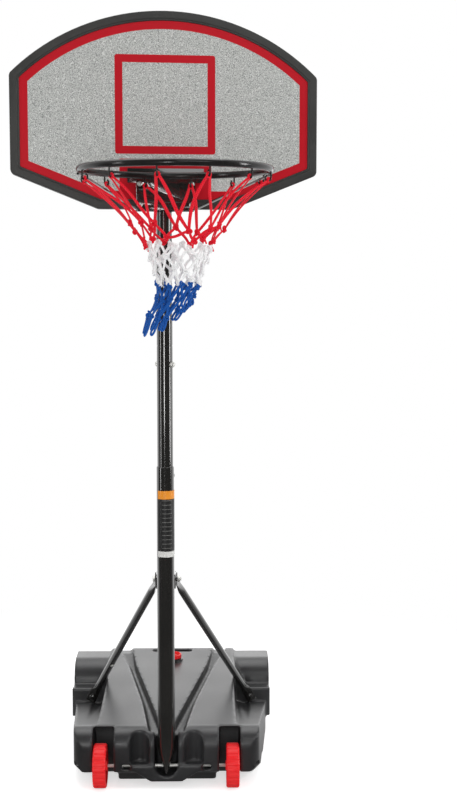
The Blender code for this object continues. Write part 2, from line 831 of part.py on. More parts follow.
def corner_tool(label, side, wall, parent):
    # The low outer edge is cut at a slant that follows the rising underside and the widening plan
    spread = (REAR_HALF_WIDTH - FRONT_HALF_WIDTH) / (DRUM_FRONT - TANK_FRONT)
    rise = CHEEK_BOTTOM / (FLAT_FRONT - TANK_FRONT)
    drop = CHEEK_CORNER + CORNER_DROP + wall
    rings = []
    for y in CORNER_STATIONS:
        x = FRONT_HALF_WIDTH + spread * (y - TANK_FRONT) - drop
        z = max(0, rise * (FLAT_FRONT - y)) - CORNER_DROP + (math.sqrt(2) - 1) * wall
        if y == CORNER_STATIONS[-1]:
            x += CHEEK_CORNER
        section = [(x, -0.1), (x + CORNER_REACH, -0.1), (x + CORNER_REACH, z + CORNER_REACH), (x, z)]
        rings.append([Vector((side * a, y, b)) for a, b in section])
    return loft(label + "_corner", rings, parent)


def build_tank(base, plastic):
    tank = tank_form("tank", 0, base, plastic)
    boss = rods("filler_boss", [((0, FILLER_Y, CHEEK_TOP), (0, FILLER_Y, FILLER_TOP))],
                FILLER_BOSS, base, sides=32)
    combine(tank, boss, "UNION")
    hollow = tank_form("tank_hollow", TANK_WALL, base)
    end_x = FRONT_HALF_WIDTH + 0.05
    sleeve = rods("axle_sleeve", [((-end_x, 0, AXLE_Z), (end_x, 0, AXLE_Z))],
                  AXLE_RADIUS + GAP + TANK_WALL, base, sides=16)
    combine(hollow, sleeve)
    seat_radius = AXLE_CAP_RADIUS + AXLE_CAP_SEAT
    for side in (-1, 1):
        label = "left" if side < 0 else "right"
        floor = FRONT_HALF_WIDTH - AXLE_CAP_RECESS
        seat = rods("axle_seat_" + label, [((side * floor, 0, AXLE_Z), (side * end_x, 0, AXLE_Z))],
                    seat_radius, base, sides=20)
        seat_wall = rods("axle_seat_wall_" + label,
                         [((side * (floor - TANK_WALL), 0, AXLE_Z), (side * end_x, 0, AXLE_Z))],
                         seat_radius + TANK_WALL, base, sides=20)
        combine(hollow, seat_wall)
        combine(tank, seat)
    combine(tank, hollow)
    bore = rods("axle_bore", [((-end_x, 0, AXLE_Z), (end_x, 0, AXLE_Z))], AXLE_RADIUS + GAP, base, sides=16)
    combine(tank, bore)
    neck = rods("filler_neck", [((0, FILLER_Y, FILLER_NECK_BOTTOM), (0, FILLER_Y, FILLER_TOP + 0.05))],
                FILLER_RADIUS, base, sides=32)
    combine(tank, neck)
    return tank


def build_filler(base, red, rubber):
    at = (0, FILLER_Y, FILLER_TOP)
    low = GAP
    high = low + SEAL_THICKNESS
    inner = FILLER_RADIUS + CAP_EDGE
    outer = CAP_RADIUS - CAP_EDGE / 2
    turned("filler_seal", [(outer, high), (outer, low), (inner, low), (inner, high)], base, rubber,
           at=at, steps=24)
    seat = high + GAP
    top = seat + CAP_HEIGHT
    plug = FILLER_RADIUS - 2 * GAP
    cup = CAP_RADIUS - CAP_WALL
    profile = [
        (0, seat + CAP_WALL),
        (cup, seat + CAP_WALL),
        (cup, top),
        (CAP_RADIUS - CAP_EDGE, top),
        (CAP_RADIUS, top - CAP_EDGE),
        (CAP_RADIUS, seat),
        (plug, seat),
        (plug, -CAP_PLUG_LENGTH),
        (plug - CAP_WALL, -CAP_PLUG_LENGTH),
        (plug - CAP_WALL, seat - CAP_EDGE / 2),
        (0, seat - CAP_EDGE / 2),
    ]
    cap = turned("filler_cap", profile, base, red, at=at, steps=24, closed=False)
    grip = box("cap_grip", (-cup - CAP_EDGE, -CAP_WALL / 2, seat + CAP_EDGE),
               (cup + CAP_EDGE, CAP_WALL / 2, top - 2 * CAP_EDGE), base)
    grip.location = at
    combine(cap, grip, "UNION")


def tread_ring(x, drop):
    # One turn of the ribbed tread: each rib is a short flat, with a flat groove after it
    points = []
    step = math.tau / WHEEL_RIBS
    for k in range(WHEEL_RIBS):
        for share, depth in ((-0.24, 0), (0.24, 0), (0.34, WHEEL_RIB_DEPTH), (0.66, WHEEL_RIB_DEPTH)):
            angle = (k + share) * step - math.pi / 2
            radius = WHEEL_RADIUS - drop - depth
            points.append(Vector((x, radius * math.cos(angle), radius * math.sin(angle))))
    return points


def build_wheel(name, side, base, red):
    # The wheel's origin lies on its axle
    hub = empty(name + "_axis", (side * WHEEL_X, 0, AXLE_Z))
    hub.parent = base
    half = WHEEL_WIDTH / 2
    shoulder = half - WHEEL_CHAMFER
    rings = [
        tread_ring(-half, WHEEL_CHAMFER),
        tread_ring(-shoulder, 0),
        tread_ring(shoulder, 0),
        tread_ring(half, WHEEL_CHAMFER),
    ]
    wheel = loft(name, rings, hub, red)
    rim = WHEEL_RADIUS - WHEEL_RIM
    for direction in (-1, 1):
        label = name + ("_inner" if direction * side < 0 else "_outer")
        dish = turned(label + "_dish", [
            (rim, half + 0.01),
            (rim - 0.002, half - WHEEL_RECESS),
            (WHEEL_HUB_RADIUS, half - WHEEL_RECESS),
            (WHEEL_HUB_RADIUS, half + 0.01),
        ], hub, along=(direction, 0, 0), steps=20)
        combine(wheel, dish)
    core = rods(name + "_core", [((-WHEEL_HUB_WIDTH / 2, 0, 0), (WHEEL_HUB_WIDTH / 2, 0, 0))],
                WHEEL_HUB_RADIUS - 0.002, hub, sides=20)
    combine(wheel, core, "UNION")
    bore = rods(name + "_bore", [((-WHEEL_HUB_WIDTH, 0, 0), (WHEEL_HUB_WIDTH, 0, 0))],
                AXLE_RADIUS + AXLE_CLEARANCE, hub, sides=20)
    combine(wheel, bore)


def build_axle(base, steel, black):
    reach = FRONT_HALF_WIDTH - AXLE_CAP_RECESS + AXLE_END
    rods("axle", [((-reach, 0, AXLE_Z), (reach, 0, AXLE_Z))], AXLE_RADIUS, base, steel, sides=20)
    for side, name in ((-1, "axle_cap_left"), (1, "axle_cap_right")):
        start = FRONT_HALF_WIDTH - AXLE_CAP_RECESS + GAP
        inner = AXLE_RADIUS + GAP
        floor = reach + GAP - start
        profile = [
            (0, AXLE_CAP_LENGTH),
            (AXLE_CAP_RADIUS - AXLE_CAP_CHAMFER, AXLE_CAP_LENGTH),
            (AXLE_CAP_RADIUS, AXLE_CAP_LENGTH - AXLE_CAP_CHAMFER),
            (AXLE_CAP_RADIUS, 0),
            (inner, 0),
            (inner, floor),
            (0, floor),
        ]
        turned(name, profile, base, black, at=(side * start, 0, AXLE_Z), along=(side, 0, 0),
               steps=20, closed=False)


def foot_sizes(shares):
    return [[share * LOWER_RADIUS for share in row] for row in shares]


def build_lower_pole(base, black):
    # A round tube whose foot is pressed flat around the axle
    def section(z, across, depth):
        return ring((0, 0, z), (across, 0, 0), (0, depth, 0), POLE_SIDES)
    rings = [section(AXLE_Z + rise, across, depth) for rise, across, depth in foot_sizes(FOOT_INSIDE)]
    rings.append(section(LOWER_TOP, LOWER_BORE, LOWER_BORE))
    rings.append(section(LOWER_TOP, LOWER_RADIUS, LOWER_RADIUS))
    rings += [section(AXLE_Z + rise, across, depth) for rise, across, depth in foot_sizes(FOOT_OUTSIDE)]
    pole = loft("lower_pole", rings, base, black)
    hole = rods("axle_hole", [((-0.05, 0, AXLE_Z), (0.05, 0, AXLE_Z))], AXLE_RADIUS + GAP, base, sides=20)
    combine(pole, hole)
    stud_hole = rods("stud_hole", [((0, 0, LOCK_Z), (0, 0.05, LOCK_Z))], LOCK_STUD_RADIUS + GAP, base,
                     sides=16)
    combine(pole, stud_hole)


def build_lock(base, black, steel):
    # The boss is shaped to the pole; the hand screw passes through it and stops at the upper tube
    start = LOWER_RADIUS - 0.004
    end = LOWER_RADIUS + LOCK_BOSS_LENGTH
    boss = rods("lock_boss", [((0, start, LOCK_Z), (0, end, LOCK_Z))], LOCK_BOSS_RADIUS, base, black,
                sides=24)
    saddle = rods("lock_saddle", [((0, 0, LOCK_Z - 0.05), (0, 0, LOCK_Z + 0.05))], LOWER_RADIUS + GAP, base,
                  sides=POLE_SIDES)
    combine(boss, saddle)
    thread = rods("lock_thread", [((0, 0, LOCK_Z), (0, 0.08, LOCK_Z))], LOCK_STUD_RADIUS + GAP, base,
                  sides=16)
    combine(boss, thread)
    tip = UPPER_RADIUS + GAP
    knob_start = end + KNOB_GAP
    outline = []
    for k in range(KNOB_LOBES * 6):
        angle = math.tau * k / (KNOB_LOBES * 6)
        radius = KNOB_RADIUS - KNOB_LOBE_DEPTH * (1 - math.cos(KNOB_LOBES * angle)) / 2
        outline.append((radius * math.cos(angle), radius * math.sin(angle)))
    pivot = empty("lock_axis", (0, 0, LOCK_Z))
    pivot.parent = base
    knob = prism("lock_knob", outline, "XZ", knob_start, knob_start + KNOB_LENGTH, pivot, black)
    stud = rods("lock_stud", [((0, tip, 0), (0, knob_start + KNOB_LENGTH / 2, 0))], LOCK_STUD_RADIUS,
                pivot, sides=16)
    collar = rods("lock_collar", [((0, knob_start - KNOB_GAP / 2, 0), (0, knob_start + KNOB_LENGTH / 2, 0))],
                  LOCK_STUD_RADIUS * 2, pivot, sides=16)
    combine(knob, collar, "UNION")
    combine(knob, stud, "UNION")


def build_label(base, sticker):
    # A thin sheet wrapped round the front of the lower pole
    radius = LOWER_RADIUS + GAP
    steps = 20
    rings = []
    for reach, height in ((radius, LABEL_TOP), (radius + LABEL_THICKNESS, LABEL_TOP),
                          (radius + LABEL_THICKNESS, LABEL_BOTTOM), (radius, LABEL_BOTTOM)):
        row = []
        for k in range(steps + 1):
            angle = LABEL_START + LABEL_SWEEP * k / steps
            row.append(Vector((reach * math.sin(angle), -reach * math.cos(angle), height)))
        rings.append(row)
    sections = [list(points) for points in zip(*rings)]
    loft("height_label", sections, base, sticker)


def build_strut_bracket(base, black):
    # Two ears behind the pole, joined by a web and hollowed to the pole's round
    outer = LOWER_RADIUS + GAP + BRACKET_SHEET
    low = BRACKET_Z - BRACKET_HEIGHT / 2
    high = BRACKET_Z + BRACKET_HEIGHT / 2
    bracket = box("strut_bracket", (-outer, BRACKET_HUG, low), (outer, BRACKET_REACH, high), base, black)
    seat = rods("bracket_seat", [((0, 0, low - 0.01), (0, 0, high + 0.01))], LOWER_RADIUS + GAP, base,
                sides=POLE_SIDES)
    combine(bracket, seat)
    inner = outer - BRACKET_SHEET
    slot = box("bracket_slot", (-inner, outer, low - 0.01), (inner, BRACKET_REACH + 0.01, high + 0.01), base)
    combine(bracket, slot)
    hole = rods("bracket_hole", [((-0.05, STRUT_BOLT_Y, BRACKET_Z), (0.05, STRUT_BOLT_Y, BRACKET_Z))],
                BOLT_HOLE, base, sides=16)
    combine(bracket, hole)


def strut_points(side):
    # Centres of the two tabs' holes, the elbow below the top tab and the tube's direction
    ear = LOWER_RADIUS + 2 * GAP + BRACKET_SHEET
    top = Vector((side * (ear + TAB_THICKNESS / 2), STRUT_BOLT_Y, BRACKET_Z))
    foot = Vector((side * FOOT_X, DRUM_FRONT - GAP - TAB_THICKNESS / 2, FOOT_Z))
    down = Vector((0, foot.y - top.y, foot.z - top.z)).normalized()
    elbow = top + down * STRUT_ELBOW
    return top, foot, elbow, (foot - elbow).normalized()


def strut_sections(side, wall):
    # Outside sections at wall 0; the bore's sections at the wall's thickness
    top, foot, elbow, along = strut_points(side)
    normal_x = Vector((1, 0, 0))
    normal_y = Vector((0, 1, 0))
    down = Vector((0, along.y, along.z)).normalized()
    top_width = normal_x.cross(down)
    fall = Vector((along.x, 0, along.z)).normalized()
    foot_width = normal_y.cross(fall)
    round_side = (top_width - along * top_width.dot(along)).normalized()
    round_up = along.cross(round_side)
    radius = STRUT_RADIUS - wall
    half = TAB_THICKNESS / 2
    tube = [
        ring(elbow + along * STRUT_TOP_BEND, round_side * radius, -round_up * radius),
        ring(foot - along * STRUT_FOOT_BEND, round_side * radius, -round_up * radius),
    ]
    if wall:
        return tube
    first = ring(top - down * TAB_END, top_width * TAB_WIDTH * 0.42, normal_x * half, power=0.4)
    second = ring(top + down * 0.014, top_width * TAB_WIDTH * 0.5, normal_x * half, power=0.4)
    third = ring(foot - fall * 0.016, foot_width * FOOT_TAB_WIDTH * 0.5, normal_y * half, power=0.4)
    last = ring(foot + fall * TAB_END, foot_width * FOOT_TAB_WIDTH * 0.5, normal_y * half, power=0.4)
    return align([first, second, *tube, third, last])


def align(rings):
    # Starts each ring at the point nearest to the ring before, going round the same way
    ordered = [rings[0]]
    for points in rings[1:]:
        best = None
        count = len(points)
        for way in (points, points[::-1]):
            for shift in range(count):
                turned_points = way[shift:] + way[:shift]
                length = sum((a - b).length for a, b in zip(ordered[-1], turned_points))
                if best is None or length < best[0]:
                    best = (length, turned_points)
        ordered.append(best[1])
    return ordered


def build_strut(name, side, base, black):
    strut = loft(name, strut_sections(side, 0), base, black)
    bore = loft(name + "_bore", strut_sections(side, STRUT_WALL), base)
    combine(strut, bore)
    top, foot = strut_points(side)[:2]
    across = Vector((0.05, 0, 0))
    combine(strut, rods(name + "_top_hole", [(top - across, top + across)], BOLT_HOLE, base, sides=16))
    through = Vector((0, 0.05, 0))
    combine(strut, rods(name + "_foot_hole", [(foot - through, foot + through)], SCREW_RADIUS * 2 + GAP, base,
                        sides=16))
    centre, outward = screw_place(side)
    combine(strut, rods(name + "_screw_hole", [(centre, centre + outward * 0.03)], SCREW_RADIUS + GAP, base,
                        sides=12))


def screw_place(side):
    # The struts are alike: the left one's screw faces the front, the right one's faces the rear
    foot, elbow, along = strut_points(side)[1:]
    centre = elbow.lerp(foot, STRUT_SCREW_PLACE)
    sideways, up = STRUT_SCREW_FACING
    facing = Vector((-side * sideways, side, up))
    outward = (facing - along * facing.dot(along)).normalized()
    return centre, outward


def build_strut_fasteners(base, steel, black):
    left, left_foot = strut_points(-1)[:2]
    right, right_foot = strut_points(1)[:2]
    outside = TAB_THICKNESS / 2 + GAP
    start = left - Vector((outside, 0, 0))
    end = right + Vector((outside, 0, 0))
    bolt("strut_bolt", start, (1, 0, 0), (end - start).length + NUT_HEIGHT + BOLT_TAIL, base, steel)
    nut("strut_nut", end, (1, 0, 0), base, steel)
    for side, label, foot in ((-1, "left", left_foot), (1, "right", right_foot)):
        seat = foot - Vector((0, outside, 0))
        dome_bolt("strut_foot_bolt_" + label, seat, (0, 1, 0), SCREW_RADIUS * 2,
                  TAB_THICKNESS + 0.012, FOOT_BOLT_HEAD, DOME_HEIGHT, base, black)
        centre, outward = screw_place(side)
        head = centre + outward * (STRUT_RADIUS + GAP)
        dome_bolt("strut_screw_" + label, head, -outward, SCREW_RADIUS, STRUT_RADIUS * 0.8,
                  SCREW_HEAD_RADIUS, SCREW_HEAD_RADIUS * 0.5, base, steel)


def cut_foot_holes(tank, base):
    # Sockets in the drum's wall for the bolts that hold the struts' feet
    for side, label in ((-1, "left"), (1, "right")):
        foot = strut_points(side)[1]
        hole = rods("foot_socket_" + label, [(foot, foot + Vector((0, 0.03, 0)))],
                    SCREW_RADIUS * 2 + GAP, base, sides=16)
        combine(tank, hole)


def bolt_direction():
    return Vector((math.sin(JOINT_BOLT_TURN), -math.cos(JOINT_BOLT_TURN), 0))


def build_upper_poles(mast, black, steel, plastic):
    middle = [
        (UPPER_RADIUS, SEAM_Z),
        (UPPER_RADIUS, MIDDLE_BOTTOM),
        (UPPER_BORE, MIDDLE_BOTTOM),
        (UPPER_BORE, SEAM_Z),
    ]
    middle_pole = turned("middle_pole", middle, mast, black, steps=POLE_SIDES)
    top = [
        (UPPER_RADIUS, TOP_POLE_TOP),
        (UPPER_RADIUS, SEAM_Z + GAP),
        (SPIGOT_RADIUS, SEAM_Z + GAP),
        (SPIGOT_RADIUS, SEAM_Z - SPIGOT_LENGTH),
        (SPIGOT_BORE, SEAM_Z - SPIGOT_LENGTH),
        (SPIGOT_BORE, SEAM_Z + TUBE_WALL),
        (UPPER_BORE, SEAM_Z + 2 * TUBE_WALL),
        (UPPER_BORE, TOP_POLE_TOP),
    ]
    top_pole = turned("top_pole", top, mast, black, steps=POLE_SIDES)
    along = bolt_direction()
    centre = Vector((0, 0, JOINT_BOLT_Z))
    hole = rods("joint_hole", [(centre - along * 0.05, centre + along * 0.05)], BOLT_RADIUS + GAP, mast,
                sides=16)
    combine(middle_pole, hole)
    combine(top_pole, hole)
    seat = UPPER_RADIUS + GAP
    bolt("joint_bolt", centre - along * seat, along, 2 * seat + NUT_HEIGHT + BOLT_TAIL, mast, steel)
    nut("joint_nut", centre + along * seat, along, mast, steel)
    lid = TOP_POLE_TOP + GAP
    plug = UPPER_BORE - GAP
    cap = [
        (0, lid + POLE_CAP_HEIGHT),
        (UPPER_RADIUS - POLE_CAP_WALL, lid + POLE_CAP_HEIGHT),
        (UPPER_RADIUS, lid + POLE_CAP_HEIGHT / 3),
        (UPPER_RADIUS, lid),
        (plug, lid),
        (plug, lid - POLE_CAP_PLUG),
        (plug - POLE_CAP_WALL, lid - POLE_CAP_PLUG),
        (plug - POLE_CAP_WALL, lid),
        (0, lid),
    ]
    turned("pole_cap", cap, mast, plastic, steps=POLE_SIDES, closed=False)


def board_outline(distance=0.0):
    # Anticlockwise in X and Z: a broad arc on top, straight sides and two slanting lower corners
    half = BOARD_WIDTH / 2
    edge = math.degrees(math.acos(half / BOARD_ARC))
    crown = arc((0, BOARD_TOP - BOARD_ARC), BOARD_ARC, edge, 180 - edge, 16)
    corners = [
        (-BOARD_FLAT / 2, BOARD_BOTTOM),
        (BOARD_FLAT / 2, BOARD_BOTTOM),
        (half, BOARD_TOP - SIDE_DROP),
        *crown,
        (-half, BOARD_TOP - SIDE_DROP),
    ]
    return fillet(inset(corners, distance), max(BOARD_ROUNDING - distance, PANEL_ROUNDING), 3)


def bolt_lines(start, end):
    return [((x, start, z), (x, end, z)) for x in (-RIM_BOLT_X, RIM_BOLT_X)
            for z in (RIM_BOLT_LOW, RIM_BOLT_HIGH)]


def board_ring(distance, y):
    return [Vector((x, y, z)) for x, z in board_outline(distance)]


def build_board(mast, plastic, printed):
    # A tray with its open side to the rear; the front has a raised lip round the printed panel
    front = BOARD_FRONT
    recess = PANEL_BACK + GAP
    floor = recess + BOARD_WALL
    rings = [
        board_ring(BOARD_WALL, floor),
        board_ring(BOARD_WALL, BOARD_BACK),
        board_ring(0, BOARD_BACK),
        board_ring(0, front + EDGE_CHAMFER),
        board_ring(EDGE_CHAMFER, front),
        board_ring(LIP_WIDTH, front),
        board_ring(LIP_WIDTH, recess),
    ]
    frame = loft("board_frame", rings, mast, plastic)
    sunk = BOARD_WALL / 2
    for k in range(1, int(BOARD_WIDTH / 2 / RIB_SPACING_X) + 1):
        for side in (-1, 1):
            x = side * k * RIB_SPACING_X
            top = BOARD_TOP - BOARD_ARC + math.sqrt(BOARD_ARC ** 2 - x ** 2) - sunk
            corner = BOARD_BOTTOM + max(0, abs(x) - BOARD_FLAT / 2) * lower_slope() + sunk
            rib = box("board_rib_x", (x - RIB_THICKNESS / 2, floor - sunk, corner),
                      (x + RIB_THICKNESS / 2, BOARD_BACK - 0.001, top), mast)
            combine(frame, rib, "UNION")
    for k in range(1, int(BOARD_HEIGHT / RIB_SPACING_Z) + 1):
        z = BOARD_BOTTOM + k * RIB_SPACING_Z
        reach = BOARD_WIDTH / 2
        drop = z - (BOARD_TOP - BOARD_ARC)
        if drop > 0:
            reach = min(reach, math.sqrt(BOARD_ARC ** 2 - drop ** 2))
        rib = box("board_rib_z", (-reach + sunk, floor - sunk, z - RIB_THICKNESS / 2),
                  (reach - sunk, BOARD_BACK - 0.002, z + RIB_THICKNESS / 2), mast)
        combine(frame, rib, "UNION")
    spine = box("board_spine", (-SPINE_WIDTH / 2, floor - sunk, BOARD_BOTTOM + sunk),
                (SPINE_WIDTH / 2, BOARD_BACK, TOP_POLE_TOP), mast)
    combine(frame, spine, "UNION")
    bosses = rods("board_bosses", bolt_lines(floor - sunk, BOARD_BACK), BOSS_RADIUS, mast, sides=16)
    combine(frame, bosses, "UNION")
    panel = loft("board_panel", [board_ring(LIP_WIDTH + PANEL_GAP, PANEL_BACK - PANEL_THICKNESS),
                                 board_ring(LIP_WIDTH + PANEL_GAP, PANEL_BACK)], mast, printed)
    holes = rods("board_holes", bolt_lines(front - 0.02, BOARD_BACK + 0.02), BOLT_HOLE, mast, sides=12)
    combine(frame, holes)
    combine(panel, holes)


def lower_slope():
    # Rise of the board's slanting lower edges for each metre sideways
    return (BOARD_HEIGHT - SIDE_DROP) / (BOARD_WIDTH / 2 - BOARD_FLAT / 2)


def build_rim_plate(mast, black):
    # A plate on the board under a wider shelf, whose hollow front edge meets the rim
    half_sheet = PLATE_SHEET / 2
    shelf_front = -RIM_REACH + SHELF_REACH * RIM_RADIUS
    outline = [
        (shelf_front, RIM_Z - half_sheet),
        (PLATE_FRONT, RIM_Z - half_sheet),
        (PLATE_FRONT, RIM_Z - SHELF_APRON),
        (PLATE_BACK, RIM_Z - SHELF_APRON),
        (PLATE_BACK, RIM_Z + PLATE_RISE),
        (PLATE_FRONT, RIM_Z + PLATE_RISE),
        (PLATE_FRONT, RIM_Z + half_sheet),
        (shelf_front, RIM_Z + half_sheet),
    ]
    plate = prism("rim_plate", outline, "YZ", -SHELF_WIDTH / 2, SHELF_WIDTH / 2, mast, black)
    lower = box("plate_lower", (-PLATE_WIDTH / 2, PLATE_FRONT, PLATE_BOTTOM),
                (PLATE_WIDTH / 2, PLATE_BACK, RIM_Z + SHELF_APRON), mast)
    combine(plate, lower, "UNION")
    centre = Vector((0, -RIM_REACH, RIM_Z))
    rise = Vector((0, 0, RIM_TUBE))
    edge = rods("rim_edge", [(centre - rise, centre + rise)], RIM_RADIUS + RIM_TUBE + GAP, mast, sides=72)
    combine(plate, edge)
    holes = rods("plate_holes", bolt_lines(PLATE_FRONT - 0.02, PLATE_BACK + 0.02), BOLT_HOLE, mast, sides=16)
    combine(plate, holes)


def build_strap(mast, black, steel):
    # A pressed strap that goes behind the pole and is held by the rim's four bolts
    inner = UPPER_RADIUS + GAP
    outer = inner + STRAP_SHEET
    ear = PLATE_WIDTH / 2
    back = BOARD_BACK + GAP
    outside = arc((0, 0), outer, 0, 180, 14)
    inside = arc((0, 0), inner, 180, 0, 14)
    outline = [
        (ear, back),
        (ear, back + STRAP_SHEET),
        (outer, back + STRAP_SHEET),
        *outside,
        (-outer, back + STRAP_SHEET),
        (-ear, back + STRAP_SHEET),
        (-ear, back),
        (-inner, back),
        *inside,
        (inner, back),
    ]
    strap = prism("pole_strap", outline, "XY", STRAP_BOTTOM, STRAP_TOP, mast, black)
    lines = bolt_lines(BOARD_BACK - 0.01, BOARD_BACK + 0.02)
    combine(strap, rods("strap_holes", lines, BOLT_HOLE, mast, sides=16))
    height = (RIM_BOLT_LOW + RIM_BOLT_HIGH) / 2
    screw_hole = rods("strap_screw_hole", [((0, UPPER_BORE - 0.006, height), (0, outer + 0.02, height))],
                      SCREW_RADIUS + GAP, mast, sides=12)
    combine(strap, screw_hole)
    combine(bpy.data.objects["top_pole"], screw_hole)
    dome_bolt("strap_screw", (0, outer + GAP, height), (0, -1, 0), SCREW_RADIUS,
              STRAP_SHEET + TUBE_WALL + 0.004, SCREW_HEAD_RADIUS, SCREW_HEAD_RADIUS * 0.5, mast, steel)


def build_rim_fasteners(mast, steel):
    ear_back = BOARD_BACK + GAP + STRAP_SHEET + GAP
    names = ("low_left", "high_left", "low_right", "high_right")
    for name, (start, end) in zip(names, bolt_lines(PLATE_FRONT - GAP, ear_back)):
        length = ear_back - start[1] + NUT_HEIGHT + BOLT_TAIL
        dome_bolt("rim_bolt_" + name, start, (0, 1, 0), BOLT_RADIUS, length, RIM_BOLT_HEAD, DOME_HEIGHT,
                  mast, steel)
        nut("rim_nut_" + name, end, (0, 1, 0), mast, steel)


def hook_angles():
    # Measured from the board's side of the rim, half a step off it so that the shelf is clear
    step = math.tau / HOOKS
    return [(k + 0.5) * step for k in range(HOOKS)]


def on_rim(radius, angle, z):
    return Vector((radius * math.sin(angle), -RIM_REACH + radius * math.cos(angle), z))


def build_rim(mast, black):
    circle = arc((RIM_RADIUS, 0), RIM_TUBE, 90, -270, 8)[:-1]
    inner = arc((RIM_RADIUS, 0), RIM_TUBE - RIM_WALL, 90, -270, 6)[:-1]
    at = (0, -RIM_REACH, RIM_Z)
    rim = turned("rim_ring", circle, mast, black, at=at, steps=RIM_STEPS)
    for index, angle in enumerate(hook_angles()):
        stem = [on_rim(HOOK_R, angle, RIM_Z - RIM_TUBE + 0.003), on_rim(HOOK_R, angle, HOOK_Z + 0.001)]
        curl = []
        for r, z in arc((HOOK_R - HOOK_CURL, HOOK_Z), HOOK_CURL, 0, -230, 6):
            curl.append(on_rim(r, angle, z))
        hook = wire("hook_%02d" % index, stem + curl, HOOK_WIRE, mast, resolution=0)
        combine(rim, hook, "UNION")
    bore = turned("rim_bore", inner, mast, at=at, steps=RIM_STEPS)
    combine(rim, bore)
    back = -RIM_REACH + RIM_RADIUS
    vent = rods("rim_vent", [((0, back - 0.02, RIM_Z), (0, back, RIM_Z))], VENT_RADIUS, mast, sides=10)
    combine(rim, vent)


def build_brace(name, side, mast, black):
    # A straight rod from under the rim's side to the plate's lower corner, both ends cut to fit
    start = on_rim(RIM_RADIUS, side * BRACE_TURN, RIM_Z - RIM_TUBE - BRACE_RADIUS - GAP)
    end = Vector((side * BRACE_PLATE_X, PLATE_FRONT - BRACE_RADIUS - GAP, BRACE_PLATE_Z))
    along = (end - start).normalized()
    lead = Vector((along.x, along.y, 0)).normalized()
    points = [start - lead * BRACE_LAP, start + lead * BRACE_RADIUS, end - lead * BRACE_LAP, end]
    wire(name, points, BRACE_RADIUS, mast, black)


def net_lean(z):
    # The middle of the net hangs a little to the right, and its lower end leans to the left
    share = max(0.0, (NET_LEAN_TOP - z) / (NET_LEAN_TOP - NET_BOTTOM))
    sway = NET_SWAY * min(1.0, (RIM_Z - z) / (NET_SWAY_DROP * NET_DROP))
    return sway * (1 - share) - NET_LEAN * share ** 1.6


def knot_row(row, index):
    # Knots of a row lie half a step from those of the row above; each is a short upright link
    z = RIM_Z - row[0] * NET_DROP
    radius = row[1] * RIM_RADIUS
    step = math.tau / HOOKS
    knots = []
    for k in range(HOOKS):
        angle = (k + 0.5 + 0.5 * (index % 2)) * step
        ends = []
        for height in (z + NET_KNOT / 2, z - NET_KNOT / 2):
            point = on_rim(radius, angle, height)
            point.x += net_lean(height)
            ends.append(point)
        knots.append(ends)
    return knots


def hook_row():
    # Where the net hangs: a short level stretch of cord through each hook
    loops = []
    for angle in hook_angles():
        centre = on_rim(NET_R, angle, HOOK_Z)
        tangent = Vector((math.cos(angle), -math.sin(angle), 0))
        loops.append([centre - tangent * NET_LOOP_HALF, centre + tangent * NET_LOOP_HALF])
    return loops


def sag(first, last):
    # A long cord hangs a little inside the straight line
    middle = (first + last) / 2
    centre = Vector((0, -RIM_REACH, middle.z))
    return middle + (centre - middle).normalized() * NET_SAG


def lattice(name, cells, mast, cloth):
    # A cord runs along every edge of the cells
    bm = bmesh.new()
    for cell in cells:
        bm.faces.new([bm.verts.new(point) for point in cell])
    bmesh.ops.remove_doubles(bm, verts=bm.verts, dist=0.00001)
    mesh = bmesh_to_mesh(bm, name)
    obj = place(name, mesh, mast, cloth)
    cords = obj.modifiers.new("Cords", "WIREFRAME")
    cords.thickness = NET_CORD
    cords.offset = 0
    cords.use_boundary = True
    cords.use_even_offset = False
    cords.use_relative_offset = False
    return obj


def row_cells(rows, parities):
    # One cell hangs below each knot of a row and ends two rows further down
    cells = []
    for index in range(len(rows) - 2):
        shift = parities[index] % 2
        for k in range(HOOKS):
            left = rows[index + 1][(k + shift - 1) % HOOKS]
            right = rows[index + 1][(k + shift) % HOOKS]
            low = rows[index + 2][k]
            cells.append([rows[index][k][1], left[0], left[1], low[0], right[1], right[0]])
    return cells


def build_net(mast, red, white, blue):
    loops = hook_row()
    rows = [knot_row(row, index + 1) for index, row in enumerate(NET_RED)]
    cells = []
    for k in range(HOOKS):
        start, end = loops[k]
        left = rows[0][k - 1]
        right = rows[0][k]
        cells.append([start, sag(start, left[0]), left[0], left[1], rows[1][k][0], right[1], right[0],
                      sag(end, right[0]), end])
    lattice("net_red", cells, mast, red)
    rows = [knot_row(row, index) for index, row in enumerate(NET_WHITE)]
    lattice("net_white", row_cells(rows, range(len(rows))), mast, white)
    rows = [knot_row(row, index + 1) for index, row in enumerate(NET_BLUE)]
    cells = row_cells(rows, range(1, len(rows) + 1))
    lattice("net_blue", cells, mast, blue)


